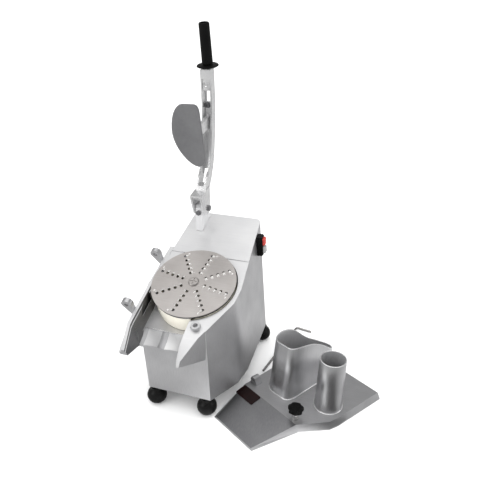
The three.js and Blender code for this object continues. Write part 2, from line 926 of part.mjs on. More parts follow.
// One vane: a spiral out of the hub that then follows the rim
function makeVane(start) {
  const outer = [];
  const inner = [];
  for (let i = 0; i <= vaneSteps; i += 1) {
    const share = i / vaneSteps;
    const angle = start + share * vaneSweep;
    const reach = Math.min(1, share * vaneSweep / vaneSpiral);
    const ease = Math.sin(reach * Math.PI / 2);
    const radius = ejectorHubRadius - vaneThickness
      + (ejectorRadius - ejectorHubRadius + vaneThickness) * ease;
    outer.push([radius * Math.cos(angle), radius * Math.sin(angle)]);
    const core = radius - vaneThickness;
    const lag = angle + vaneThickness / radius * (1 - reach);
    inner.push([core * Math.cos(lag), core * Math.sin(lag)]);
  }
  return solid(upright(outline([...outer, ...inner.reverse()]), ejectorFoot, ejectorTop));
}

function makeEjector() {
  const floor = solid(post(0, 0, ejectorFoot, ejectorFoot + ejectorFloor, ejectorRadius, ringFacets));
  const hub = solid(post(0, 0, ejectorFoot, ejectorTop, ejectorHubRadius, shaftFacets));
  const vanes = [];
  for (let i = 0; i < ejectorVanes; i += 1) {
    vanes.push(makeVane(vaneStart + i * 2 * Math.PI / ejectorVanes));
  }
  const bore = solid(post(0, 0, ejectorFoot - overrun, overrun, shaftRadius + seatGap, shaftFacets));
  return unite([floor, hub, ...vanes]).subtract(bore);
}

const flangeTop = -bowlDepth - bowlFloor - seatGap;
const barrelFoot = flangeTop - bearingBarrelLength;
const pulleyTop = barrelFoot - pulleyGapBelow;
const pulleyFoot = pulleyTop - pulleyWidth;
const shaftTop = -plateThickness - 2 * seatGap;

function makeDiscShaft() {
  const shaft = solid(post(0, 0, pulleyFoot - shaftRunOut, shaftTop, shaftRadius, shaftFacets));
  const hole = solid(post(0, 0, -hubScrewReach - runGap, overrun, hubScrewShank + seatGap, holeFacets));
  return shaft.subtract(hole);
}

function makeBearingHousing() {
  const flange = solid(post(0, 0, flangeTop - bearingFlangeThickness, flangeTop,
    bearingFlangeRadius, shaftFacets));
  const barrel = solid(post(0, 0, barrelFoot, flangeTop, bearingBarrelRadius, shaftFacets));
  const bore = solid(post(0, 0, barrelFoot - overrun, overrun - bowlDepth,
    bearingOuter + seatGap, shaftFacets));
  return flange.add(barrel).subtract(bore);
}

function makeBearing(z) {
  const ring = solid(post(0, 0, z, z + bearingWidth, bearingOuter, shaftFacets));
  const bore = post(0, 0, z - overrun, z + overrun, shaftRadius + seatGap, shaftFacets);
  return ring.subtract(solid(bore));
}

// V-groove pulley
function makePulley(radius, bore) {
  const core = radius - pulleyGrooveDepth;
  const middle = pulleyWidth / 2;
  const flat = pulleyGrooveFlat / 2;
  const mouth = middle - pulleyRim;
  return solid(turned([
    [bore, 0],
    [radius, 0],
    [radius, middle - mouth],
    [core, middle - flat],
    [core, middle + flat],
    [radius, middle + mouth],
    [radius, pulleyWidth],
    [bore, pulleyWidth],
    [bore, 0],
  ], shaftFacets));
}

// Belt round both pulleys: outer tangents joined by arcs, drawn in the deck's plane
function beltOutline(growth) {
  const big = drivenPulleyRadius - pulleyGrooveDepth + seatGap + growth;
  const small = motorPulleyRadius - pulleyGrooveDepth + seatGap + growth;
  const lean = Math.asin((big - small) / motorOffset);
  const shape = new THREE.Shape();
  shape.absarc(0, 0, big, Math.PI - lean, 2 * Math.PI + lean, false);
  shape.absarc(0, motorOffset, small, lean, Math.PI - lean, false);
  return shape;
}

function makeBelt() {
  const z0 = pulleyTop - pulleyWidth / 2 - pulleyGrooveFlat / 2 + seatGap;
  const z1 = z0 + pulleyGrooveFlat - 2 * seatGap;
  const outer = solid(upright(beltOutline(beltThickness), z0, z1, holeFacets));
  return outer.subtract(solid(upright(beltOutline(0), z0 - overrun, z1 + overrun, holeFacets)));
}

const motorTop = pulleyFoot - pulleyGapBelow - motorBossHeight;
const motorFoot = motorTop - motorLength;

function makeMotor() {
  const barrel = solid(post(0, motorOffset, motorFoot, motorTop, motorRadius - motorRibDepth,
    2 * motorRibs));
  const ribs = [];
  for (let i = 0; i < motorRibs; i += 1) {
    const rib = box(motorRadius / 2, motorRadius, -motorRibWidth / 2, motorRibWidth / 2,
      motorFoot + motorRibWidth, motorTop - motorRibWidth);
    rib.rotateZ(i * 2 * Math.PI / motorRibs);
    ribs.push(solid(rib.translate(0, motorOffset, 0)));
  }
  const boss = solid(post(0, motorOffset, motorTop - bond, motorTop + motorBossHeight,
    motorBossRadius, shaftFacets));
  const bore = solid(post(0, motorOffset, motorTop - overrun, motorTop + overrun,
    motorShaftRadius + seatGap, pinFacets));
  return unite([barrel, boss, ...ribs]).subtract(bore);
}

const motorShaftFoot = motorTop - overrun + bond;

add(deck, 'grating_plate', makeGratingPlate(), ...brightSteel);
add(deck, 'disc_carrier', makeCarrier(), ...castMetal);
add(deck, 'hub_screw', makeHubScrew(), ...brightSteel);
add(deck, 'ejector', makeEjector(), ...creamPlastic);
add(deck, 'disc_shaft', makeDiscShaft(), ...darkSteel);
add(deck, 'bearing_housing', makeBearingHousing(), ...castMetal);
add(deck, 'bearing_upper', makeBearing(flangeTop - bearingFlangeThickness - bearingWidth),
  ...brightSteel);
add(deck, 'bearing_lower', makeBearing(barrelFoot + seatGap), ...brightSteel);
const drivenPulley = makePulley(drivenPulleyRadius, shaftRadius + seatGap);
add(deck, 'driven_pulley', drivenPulley, ...castMetal).position.z = pulleyFoot;
const motorPulley = makePulley(motorPulleyRadius, motorShaftRadius + seatGap);
add(deck, 'motor_pulley', motorPulley, ...darkSteel).position.set(0, motorOffset, pulleyFoot);
add(deck, 'motor_shaft',
  post(0, motorOffset, motorShaftFoot, pulleyTop + shaftRunOut / 2, motorShaftRadius, pinFacets),
  ...darkSteel);
add(deck, 'drive_belt', makeBelt(), ...blackRubber);
add(deck, 'motor', makeMotor(), ...motorPaint);

// Folded sheet bracket that carries the motor on the base plate
function makeMotorBracket() {
  const corner = (v, n) => new THREE.Vector3(0, v, n).applyMatrix4(deckMatrix);
  const low = corner(motorOffset - motorRadius + bond, motorFoot - seatGap);
  const high = corner(motorOffset + motorRadius - bond, motorFoot - seatGap);
  const floor = footZ;
  const frame = outline([[low.y, floor], [high.y, floor], [high.y, high.z], [low.y, low.z]]);
  const thick = bracketSheet / Math.cos(deckTilt);
  frame.holes.push(new THREE.Path([
    new THREE.Vector2(low.y + bracketSheet, floor + bracketSheet),
    new THREE.Vector2(low.y + bracketSheet, low.z + bracketSheet * Math.tan(deckTilt) - thick),
    new THREE.Vector2(high.y - bracketSheet, high.z - bracketSheet * Math.tan(deckTilt) - thick),
    new THREE.Vector2(high.y - bracketSheet, floor + bracketSheet),
  ]));
  return across(frame, discX - bracketHalfWidth, discX + bracketHalfWidth);
}
add(group, 'motor_bracket', makeMotorBracket(), ...darkSteel);
add(group, 'capacitor',
  post(capacitorX, capacitorY, footZ, footZ + capacitorLength, capacitorRadius, pinFacets),
  ...blackPlastic);

function makeMicroswitch() {
  const top = -deckDrop - roofThickness * Math.cos(deckTilt) - seatGap;
  const x = microswitchX - discX;
  return box(x - microswitchWidth / 2, x + microswitchWidth / 2,
    microswitchSlope - microswitchDepth / 2, microswitchSlope + microswitchDepth / 2,
    top - microswitchHeight, top);
}
add(deck, 'microswitch', makeMicroswitch(), ...blackPlastic);

function makeGland() {
  const shank = post(0, 0, -2 * housingWall, seatGap, glandShankRadius, pinFacets);
  const flange = post(0, 0, seatGap, seatGap + glandFlange, glandRadius, 6);
  const nose = post(0, 0, seatGap + glandFlange, seatGap + glandFlange + glandNose,
    glandNoseRadius, pinFacets, glandNoseRadius * glandNoseShare);
  const bore = post(0, 0, 0, glandNose + 2 * overrun, glandBore, holeFacets);
  return unite([solid(shank), solid(flange), solid(nose)]).subtract(solid(bore));
}
const gland = add(group, 'cable_gland', makeGland(), ...blackPlastic);
gland.position.set(glandX, rearY, glandZ);
gland.rotation.x = -Math.PI / 2;

// Lever bracket standing on the roof, drawn about the pivot
const leverFrame = new THREE.Group();
leverFrame.position.set(pivotX, pivotY, pivotZ);
group.add(leverFrame);

function makeLeverBracket() {
  const surface = (y) => roofHeight(pivotY + y) + seatGap - pivotZ;
  const bend = creaseY - pivotY;
  const block = outline([
    [-bracketFrontY, surface(-bracketFrontY)],
    [bend, surface(bend)],
    [bracketFootRear, surface(bracketFootRear)],
    [bracketFootRear, surface(bracketFootRear) + bracketFootThickness],
    [bracketRearY, surface(bracketRearY) + bracketFootThickness],
    [bracketRearY, 0],
    [bracketRearY - bracketChamfer, bracketTopZ],
    [-bracketFrontY + bracketChamfer, bracketTopZ],
    [-bracketFrontY, bracketTopZ - bracketChamfer],
  ]);
  const half = bracketWidth / 2;
  const pin = solid(bar(-forkWidth, forkWidth, 0, 0, pinRadius + seatGap, pinFacets));
  const bolt = solid(along(circle(0, -stopBoltDrop, stopBoltShank + seatGap),
    -bracketFrontY - overrun, -bracketFrontY + stopBoltReach + bond, 6));
  return solid(across(block, -half, half)).subtract(pin).subtract(bolt);
}
add(leverFrame, 'lever_bracket', makeLeverBracket(), ...castMetal);

function makeHingePin() {
  const half = forkWidth / 2 + seatGap;
  const shank = solid(bar(-half - bond, half + bond, 0, 0, pinRadius, pinFacets));
  const head = solid(bar(half, half + pinHeadLength, 0, 0, pinHeadRadius, pinFacets));
  const nut = solid(bar(-half - pinHeadLength, -half, 0, 0, pinHeadRadius, 6));
  return unite([shank, head, nut]);
}
add(leverFrame, 'hinge_pin', makeHingePin(), ...darkSteel);

function makeStopBolt() {
  const head = post(0, 0, seatGap, seatGap + stopBoltHeadLength, stopBoltHead, 6);
  const shank = post(0, 0, -stopBoltReach, seatGap + bond, stopBoltShank, holeFacets);
  return solid(head).add(solid(shank));
}
const stopBolt = add(leverFrame, 'stop_bolt', makeStopBolt(), ...darkSteel);
stopBolt.position.set(0, -bracketFrontY, -stopBoltDrop);
stopBolt.rotation.x = Math.PI / 2;

// Lever arm: rear edge as a smooth curve, front edge parallel to it
const armCurve = armCurveShares.map(([back, up]) => new THREE.Vector2(
  armFootY + (armBendY - armFootY) * back, armFootZ + (armBendZ - armFootZ) * up));
const rearEdge = new THREE.SplineCurve([
  new THREE.Vector2(armFootY, armFootZ),
  ...armCurve,
  new THREE.Vector2(armBendY, armBendZ),
  new THREE.Vector2(armTopY, armTopZ),
]);

// Band of the arm between two depths measured from its rear edge
function armBand(near, far, from, to) {
  const rear = [];
  const front = [];
  for (let i = 0; i <= armSteps; i += 1) {
    const share = from + (to - from) * i / armSteps;
    const point = rearEdge.getPointAt(share);
    const tangent = rearEdge.getTangentAt(share);
    rear.push([point.x - tangent.y * near, point.y + tangent.x * near]);
    front.push([point.x - tangent.y * far, point.y + tangent.x * far]);
  }
  return outline([...rear, ...front.reverse()]);
}

// Boss and tang on the top of the arm, drawn in the handle's frame
const handle = new THREE.Group();

function makeTang() {
  const top = guardSeat + guardThickness * guardHubShare + gripBoreDepth - seatGap;
  const turn = new THREE.Matrix4().makeTranslation(0, armTopY - handleSetBack, armTopZ)
    .multiply(new THREE.Matrix4().makeRotationX(gripLean));
  const boss = post(0, 0, -armDepth, guardSeat, armWidth / 2, shaftFacets).applyMatrix4(turn);
  const tang = post(0, 0, 0, top, tangRadius, holeFacets).applyMatrix4(turn);
  return solid(boss).add(solid(tang));
}

function makeLeverArm() {
  const half = armWidth / 2;
  const fork = forkWidth / 2;
  const cheek = outline([
    [0, -forkEyeRadius],
    [forkEyeRadius * forkEyeShare, -forkEyeRadius * forkEyeShare],
    [forkEyeRadius, 0],
    [armFootY + bond, armFootZ],
    [armFootY + bond, forkTopZ + bond],
    [-forkFrontY, forkFrontZ],
    [-forkFrontY, forkFrontZ - forkTopThickness],
    [-forkFootFrontY, -forkFootZ],
    [-forkEyeRadius * forkEyeShare, -forkEyeRadius],
  ]);
  const root = outline([
    [armFootY + bond, armFootZ - forkTopThickness],
    [armFootY + armDepth, forkTopZ + armDepth],
    [armFootY - armDepth / 2, forkTopZ + armDepth],
    [-armDepth / 2, forkTopZ - forkTopThickness],
  ]);
  const gap = forkWidth / 2 - cheekThickness;
  const window = outline([
    [-forkFrontY - overrun, forkFrontZ - forkLip],
    [-forkFrontY, forkFrontZ - forkLip],
    [armFootY - cheekThickness, forkTopZ - forkTopThickness],
    [armFootY - cheekThickness + forkWindowStep, forkTopZ - 2 * forkTopThickness],
    [forkEyeRadius + overrun, -forkFootZ],
    [forkEyeRadius + overrun, -2 * overrun],
    [-forkFrontY - overrun, -2 * overrun],
  ]);
  const body = makeTang()
    .add(solid(across(cheek, -fork, fork)))
    .add(solid(across(armBand(0, armDepth, 0, 1), -half, half)))
    .add(solid(across(root, -half, half)));
  const trough = solid(across(armBand(armWeb, armDepth + overrun, ...troughShares),
    -half + armRail, half - armRail));
  const slots = [[lowerWindowZ, lowerWindowHeight], [upperWindowZ, upperWindowHeight]].map(
    ([z, height]) => solid(box(-windowWidth / 2, windowWidth / 2, -overrun, armBendY + overrun,
      z - height / 2, z + height / 2)));
  return body
    .subtract(solid(across(window, -gap, gap)))
    .subtract(trough)
    .subtract(unite(slots))
    .subtract(solid(bar(-forkWidth, forkWidth, 0, 0, pinRadius + seatGap, pinFacets)));
}
add(leverFrame, 'lever_arm', makeLeverArm(), ...castMetal);

// Guard disc and grip on the arm's tang, leaning forwards
handle.position.set(0, armTopY - handleSetBack, armTopZ);
handle.rotation.x = gripLean;
leverFrame.add(handle);

function makeGuard() {
  return turned([
    [tangRadius + seatGap, seatGap],
    [guardRadius * guardFaceShare, seatGap],
    [guardRadius, guardThickness * guardEdgeShare],
    [guardRadius * guardShoulderShare, guardThickness],
    [gripRadius, guardThickness * guardHubShare],
    [tangRadius + seatGap, guardThickness * guardHubShare],
    [tangRadius + seatGap, seatGap],
  ], shaftFacets);
}
add(handle, 'guard_disc', makeGuard(), ...blackPlastic).position.z = guardSeat;

function makeGrip() {
  const bore = tangRadius + seatGap;
  return turned([
    [0, gripBoreDepth],
    [bore, gripBoreDepth],
    [bore, 0],
    [gripRadius * gripNeckShare, 0],
    [gripRadius, gripRadius * gripSwellShare],
    [gripEndRadius, gripLength - gripRadius * gripCrownShare],
    [gripEndRadius * gripNeckShare, gripLength],
    [gripHollowRadius, gripLength],
    [gripHollowRadius, gripLength - gripHollowDepth],
    [0, gripLength - gripHollowDepth],
  ], shaftFacets);
}
add(handle, 'grip', makeGrip(), ...blackPlastic).position.z =
  guardSeat + guardThickness * guardHubShare + seatGap;

// Presser plate: flat side to the right, round belly to the left, parallel to the
// disc when the lever is down. Drawn as shares of its width and height
const presserTilt = Math.PI / 2 + deckTilt - leverSwing;

function presserShape(shape, grow) {
  const at = (xShare, yShare) => [
    xShare * (presserWidth / 2 + grow),
    yShare * (presserHeight / 2 + grow),
  ];
  shape.moveTo(...at(0.99, 0.7));
  shape.lineTo(...at(1, -0.6));
  shape.bezierCurveTo(...at(1, -0.84), ...at(0.82, -0.99), ...at(0.5, -1));
  shape.bezierCurveTo(...at(-0.1, -1), ...at(-1, -0.42), ...at(-1, 0.08));
  shape.bezierCurveTo(...at(-1, 0.52), ...at(-0.6, 1), ...at(-0.05, 1));
  shape.lineTo(...at(0.66, 0.99));
  shape.bezierCurveTo(...at(0.88, 0.98), ...at(0.99, 0.9), ...at(0.99, 0.7));
  return shape;
}

const presser = new THREE.Group();
presser.position.set(presserX - pivotX + presserShift, -presserStandoff, presserZ);
presser.rotation.x = Math.PI / 2 + presserTilt;
leverFrame.add(presser);
const presserPlate = extrude(presserShape(new THREE.Shape(), 0), presserThickness, 8);
add(presser, 'presser_plate', presserPlate.translate(0, 0, -presserThickness), ...castMetal);

// Share of the rear edge's length at which it reaches a height
function edgeShareAt(z) {
  let low = 0;
  let high = 1;
  for (let i = 0; i < 24; i += 1) {
    const middle = (low + high) / 2;
    if (rearEdge.getPointAt(middle).y < z) {
      low = middle;
    } else {
      high = middle;
    }
  }
  return low;
}

// Presser bracket: a gusset from a foot on the arm's web forward to a round pad
function makePresserBracket() {
  const half = presserArmThickness / 2;
  const shift = presserX - pivotX;
  const footLow = presserRootZ - presserRootHeight / 2;
  const footHigh = presserRootZ + presserRootHeight / 2;
  const near = armWeb + seatGap;
  const footHalf = armWidth / 2 - armRail - runGap;
  const foot = across(armBand(near, near + presserPadThickness,
    edgeShareAt(footLow), edgeShareAt(footHigh)), -footHalf, footHalf);
  const rear = presserThickness + seatGap;
  const plateY = (z) => -presserStandoff + (rear + bond) / Math.cos(presserTilt)
    - (z - presserZ) * Math.tan(presserTilt);
  const rootY = (z) => rearEdge.getPointAt(edgeShareAt(z)).x - near - presserPadThickness / 2;
  const low = presserZ - presserTipHeight / 2;
  const high = presserZ + presserTipHeight / 2;
  const inner = presserRootHeight * presserGussetShare;
  const gusset = outline([
    [plateY(low), low],
    [rootY(footLow) - armDepth, footLow + inner / 4],
    [rootY(footLow + inner), footLow + inner / 4],
    [rootY(footHigh), footHigh - inner / 4],
    [rootY(footHigh) - armDepth, footHigh - inner / 4],
    [plateY(high), high],
  ]);
  const pad = post(0, 0, rear, rear + presserPadThickness, presserPadRadius, shaftFacets);
  pad.rotateX(-Math.PI / 2 + presserTilt);
  pad.translate(shift, -presserStandoff, presserZ);
  return unite([
    solid(across(gusset, shift - half, shift + half)),
    solid(foot.translate(shift, 0, 0)),
    solid(pad),
  ]);
}
add(leverFrame, 'presser_bracket', makePresserBracket(), ...castMetal);

// Switch box on the right wall, in a frame whose Z is the wall's outward normal
const [, , wallFoot, wallRear] = atHeight(footPlan, footZ);
const [, , wallTop] = atHeight(reachPlan, reachZ);
const wallAlong = wallRear.clone().sub(wallFoot).normalize();
const wallNormal = wallAlong.clone().cross(wallTop.clone().sub(wallFoot)).normalize();
const wallUp = wallNormal.clone().cross(wallAlong);
const switchOffset = new THREE.Vector3(0, switchY, switchZ).sub(wallFoot);
const wallX = wallFoot.x
  - (switchOffset.y * wallNormal.y + switchOffset.z * wallNormal.z) / wallNormal.x;
const switchFrame = new THREE.Group();
switchFrame.applyMatrix4(new THREE.Matrix4().makeBasis(wallAlong, wallUp, wallNormal)
  .setPosition(wallX, switchY, switchZ));
group.add(switchFrame);

function makeSwitchBox() {
  const w = switchWidth / 2;
  const h = switchHeight / 2;
  const body = solid(box(-w, w, -h, h, seatGap, switchDepth - switchRim));
  const cover = solid(box(-w + switchRim, w - switchRim, -h + switchRim, h - switchRim,
    seatGap, switchDepth));
  const wells = [1, -1].map((side) => {
    const y = side * buttonSpacing / 2;
    return solid(box(-buttonWidth / 2 - wellGap, buttonWidth / 2 + wellGap,
      y - buttonHeight / 2 - wellGap, y + buttonHeight / 2 + wellGap,
      switchDepth - buttonSink - buttonTravel - wellGap, switchDepth + overrun));
  });
  return body.add(cover).subtract(unite(wells));
}
add(switchFrame, 'switch_box', makeSwitchBox(), ...blackPlastic);

function makeButton() {
  const w = buttonWidth / 2;
  const h = buttonHeight / 2;
  const foot = atHeight(rectangle(w, h), -buttonSink);
  const rim = atHeight(rectangle(w, h), 0);
  const face = atHeight(rectangle(w * buttonFaceShare, h * buttonFaceShare), buttonRise);
  const shoulder = atHeight(rectangle(w, h), buttonRise * buttonShoulderShare);
  return solid(loft(foot, shoulder)).add(solid(loft(rim, face)));
}

function rectangle(w, h) {
  return [
    new THREE.Vector2(-w, -h), new THREE.Vector2(w, -h),
    new THREE.Vector2(w, h), new THREE.Vector2(-w, h),
  ];
}
const stopButton = add(switchFrame, 'stop_button', makeButton(), ...redPlastic);
stopButton.position.set(0, buttonSpacing / 2, switchDepth);
const startButton = add(switchFrame, 'start_button', makeButton(), ...blackPlastic);
startButton.position.set(0, -buttonSpacing / 2, switchDepth);

// Hopper lid beside the housing
const lid = new THREE.Group();
lid.position.set(lidX, lidY, 0);
lid.rotation.z = lidTurn;
group.add(lid);

// Outline of the hopper, its round side moved out by a distance
function hopperPath(grow, out) {
  const half = presserWidth / 2;
  const points = presserShape(new THREE.Shape(), grow).getPoints(8).slice(0, -1);
  return points.map((p) => new THREE.Vector2(
    p.x - half + hopperRightX - out * (half - p.x) / presserWidth, hopperMiddleY - p.y));
}

const lidPlan = [
  new THREE.Vector2(lidHalfBend, 0),
  new THREE.Vector2(lidCornerX, lidCornerY),
  new THREE.Vector2(lidSideX, lidSideY),
  new THREE.Vector2(lidRearX, lidDepth),
  new THREE.Vector2(-lidHalfBend - lidRearSpread, lidDepth),
  new THREE.Vector2(-lidHalfBend, 0),
];

// Flap: a wedge that bends down from the plate to the front
function wedge(halfRear, rearEdgeY, frontEdgeY, rearTop, frontTop, foot, lean) {
  const points = [
    [-halfRear - lean, rearEdgeY, foot], [halfRear + lean, rearEdgeY, foot],
    [flapHalfFront + lean, frontEdgeY - lean / 2, foot],
    [-flapHalfFront - lean, frontEdgeY - lean / 2, foot],
    [-halfRear, rearEdgeY, rearTop], [halfRear, rearEdgeY, rearTop],
    [flapHalfFront, frontEdgeY, frontTop], [-flapHalfFront, frontEdgeY, frontTop],
  ];
  const geometry = new THREE.BufferGeometry();
  geometry.setAttribute('position', new THREE.Float32BufferAttribute(points.flat(), 3));
  geometry.setIndex([
    0, 1, 2, 0, 2, 3,
    4, 6, 5, 4, 7, 6,
    0, 5, 1, 0, 4, 5,
    1, 6, 2, 1, 5, 6,
    2, 7, 3, 2, 6, 7,
    3, 4, 0, 3, 7, 4,
  ]);
  return solid(geometry);
}

function makeLid() {
  const spread = insetAll(lidPlan, -lidDraft);
  spread[spread.length - 1].y = 0;
  spread[0].y = 0;
  const plate = solid(loft(atHeight(spread, 0), atHeight(lidPlan, lidHeight)));
  const plateHollow = solid(loft(
    atHeight(insetAll(spread, lidSheet), 0),
    atHeight(insetAll(lidPlan, lidSheet), lidHeight - lidSheet)));
  const flap = wedge(lidHalfBend, bond, -flapLength, lidHeight, flapFrontZ, 0, lidDraft);
  const slope = (lidHeight - flapFrontZ) / flapLength;
  const stop = -flapLength + (lidSheet + bond) / slope;
  const flapHollow = wedge(lidHalfBend - lidSheet, lidSheet + bond, stop,
    lidHeight - lidSheet, bond, -bond, 0);
  const large = solid(loft(
    atHeight(hopperPath(hopperGap + hopperFootFlare, hopperSideDraft), -overrun),
    atHeight(hopperPath(hopperGap + hopperFootFlare, hopperSideDraft), 2 * lidHeight)));
  const small = solid(post(roundX, roundY, -overrun, 2 * lidHeight,
    roundRadius - roundWall, ringFacets / 2));
  const stem = solid(post(knobX, knobY, -overrun, 2 * lidHeight, stemRadius + seatGap, pinFacets));
  return plate.add(flap)
    .subtract(plateHollow)
    .subtract(flapHollow)
    .subtract(large)
    .subtract(small)
    .subtract(stem);
}
add(lid, 'lid_plate', makeLid(), ...castMetal);

function makeLargeHopper() {
  const foot = lidHeight + seatGap;
  const inner = hopperGap;
  const outer = hopperGap + hopperWall;
  const tube = (grow, low, high) => solid(loft(
    atHeight(hopperPath(grow + hopperFootFlare, hopperSideDraft), low),
    atHeight(hopperPath(grow, 0), high)));
  const rimSlope = (rimFrontZ - rimBreakZ) / (rimBreakY - rimFrontY);
  const rim = outline([
    [-lidDepth, rimFrontZ + (rimFrontY + lidDepth) * rimSlope],
    [rimBreakY, rimBreakZ],
    [rimDropY, rimDropZ],
    [lidDepth, rimRearZ],
    [lidDepth, 2 * reachZ],
    [-lidDepth, 2 * reachZ],
  ]);
  return tube(outer, foot, rimFrontZ)
    .subtract(tube(inner, foot - bond, rimFrontZ + overrun))
    .subtract(solid(across(rim, -lidRearX, lidRearX)));
}
add(lid, 'large_hopper', makeLargeHopper(), ...castMetal);

function makeRoundHopper() {
  const foot = lidHeight + seatGap;
  const top = lidHeight + roundHeight;
  const inner = roundRadius - roundWall;
  return solid(turned([
    [inner, foot],
    [roundFootRadius + roundWall, foot],
    [roundFootRadius, foot + roundWall],
    [roundRadius, top],
    [inner, top],
    [inner, foot],
  ], ringFacets / 2));
}
add(lid, 'round_hopper', makeRoundHopper(), ...castMetal)
  .position.set(roundX, roundY, 0);

function makeKnuckle() {
  const half = knuckleLength / 2;
  const eye = solid(along(circle(0, 0, knuckleRadius), -half, half, 8));
  const foot = outline([
    [-knuckleRadius * knuckleToeShare, -knuckleRise + seatGap],
    [knuckleRadius * knuckleHeelShare, -knuckleRise + seatGap],
    [knuckleRadius * knuckleToeShare, knuckleRadius * knuckleShoulderShare],
    [-knuckleRadius * knuckleToeShare, knuckleRadius * knuckleShoulderShare],
  ]);
  const bore = solid(along(circle(0, 0, knuckleBore), -half - overrun, half + overrun, 6));
  const under = solid(box(-2 * overrun, 2 * overrun, -2 * overrun, 2 * overrun,
    -3 * overrun, -knuckleRise + seatGap));
  return eye.add(solid(along(foot, -half, half))).subtract(bore).subtract(under);
}
for (const [name, y] of [
  ['lid_knuckle_front', knuckleFrontY],
  ['lid_knuckle_rear', knuckleRearY],
]) {
  add(lid, name, makeKnuckle(), ...castMetal)
    .position.set(-lidHalfBend + knuckleInset, y, lidHeight + knuckleRise);
}

const flapLean = Math.atan2(lidHeight - flapFrontZ, flapLength);
const badgeX1 = badgeWidth / 2;
const badgeY1 = badgeHeight / 2;
const badgeShape = outline([
  [-badgeX1 + badgeCorner, -badgeY1],
  [badgeX1 - badgeCorner, -badgeY1],
  [badgeX1, -badgeY1 + badgeCorner],
  [badgeX1, badgeY1 - badgeCorner],
  [badgeX1 - badgeCorner, badgeY1],
  [-badgeX1 + badgeCorner, badgeY1],
  [-badgeX1, badgeY1 - badgeCorner],
  [-badgeX1, -badgeY1 + badgeCorner],
]);
const badge = add(lid, 'badge_plate', extrude(badgeShape, badgeThickness), ...blackPlastic);
badge.rotation.x = flapLean;
badge.position.set(badgeX, badgeY, lidHeight + badgeY * Math.tan(flapLean) + seatGap);

function makeKnob() {
  const steps = knobLobes * knobLobeSteps;
  const points = [];
  for (let i = 0; i < steps; i += 1) {
    const angle = i * 2 * Math.PI / steps;
    const radius = knobRadius + knobLobe / 2 * Math.cos(knobLobes * angle);
    points.push([radius * Math.cos(angle), radius * Math.sin(angle)]);
  }
  const lobes = solid(extrude(outline(points), knobHeight));
  const crown = solid(turned([
    [0, -bond],
    [knobRadius * knobFootShare, -bond],
    ...knobShares.map(([wide, high]) => [knobRadius * wide, knobHeight * high]),
    [0, knobHeight],
  ], shaftFacets));
  const socket = solid(post(0, 0, -overrun, knobHeight / 2, stemRadius + seatGap, pinFacets));
  return lobes.intersect(crown).subtract(socket);
}
const knobBase = lidHeight + knobClear;
add(lid, 'lock_knob', makeKnob(), ...blackPlastic).position.set(knobX, knobY, knobBase);

function makeStem() {
  const collarFoot = lidHeight + seatGap;
  const shank = solid(post(0, 0, lidHeight - stemReach, knobBase + knobHeight / 2 - seatGap,
    stemRadius, pinFacets));
  const collar = solid(post(0, 0, collarFoot, knobBase - seatGap, stemCollar, pinFacets));
  return shank.add(collar);
}
add(lid, 'lock_stem', makeStem(), ...brightSteel).position.set(knobX, knobY, 0);

// Hinge rod with its bent handle
function makeRod() {
  const start = new THREE.Vector3(rodStartX, rodStartY, 0);
  const bend = new THREE.Vector3(rodBendX, rodBendY, 0);
  const run = bend.clone().sub(start).normalize();
  const side = new THREE.Vector3(run.y, -run.x, 0);
  const arc = new THREE.QuadraticBezierCurve3(
    bend.clone().addScaledVector(run, -rodCorner), bend,
    bend.clone().addScaledVector(side, rodCorner));
  const path = [start, ...arc.getPoints(rodCornerSteps), bend.clone().addScaledVector(side, rodHandle)];
  const rings = path.map((point, i) => {
    const before = path[Math.max(i - 1, 0)];
    const after = path[Math.min(i + 1, path.length - 1)];
    const ahead = after.clone().sub(before).normalize();
    const across = new THREE.Vector3(ahead.y, -ahead.x, 0);
    return Array.from({ length: rodFacets }, (_, k) => {
      const angle = 2 * Math.PI * k / rodFacets;
      return point.clone().addScaledVector(across, hingeRodRadius * Math.cos(angle))
        .setZ(hingeRodRadius * Math.sin(angle));
    });
  });
  const faces = [];
  for (let i = 0; i + 1 < rings.length; i += 1) {
    for (let k = 0; k < rodFacets; k += 1) {
      const next = (k + 1) % rodFacets;
      const low = i * rodFacets;
      const high = low + rodFacets;
      faces.push(low + k, high + next, low + next, low + k, high + k, high + next);
    }
  }
  const last = (rings.length - 1) * rodFacets;
  for (let k = 1; k + 1 < rodFacets; k += 1) {
    faces.push(0, k, k + 1, last, last + k + 1, last + k);
  }
  const geometry = new THREE.BufferGeometry();
  const positions = rings.flat().flatMap((p) => p.toArray());
  geometry.setAttribute('position', new THREE.Float32BufferAttribute(positions, 3));
  geometry.setIndex(faces);
  return solid(geometry);
}
add(group, 'hinge_rod', makeRod(), ...brightSteel).position.z = hingeRodRadius;

// Stand the whole set on the floor with its middle at the origin
group.updateMatrixWorld(true);
const bounds = new THREE.Box3().setFromObject(group, true);
const middle = bounds.getCenter(new THREE.Vector3());
group.position.set(-middle.x, -middle.y, -bounds.min.z);

export default group;
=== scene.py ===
"""Dress a bench vegetable cutter: sloping housing, grating disc, pressing lever and loose lid."""
import json
import logging
import math
from dataclasses import dataclass, field
from enum import Enum
from typing import Callable, Iterable, Sequence

import bmesh
import bpy
from mathutils import Matrix, Vector

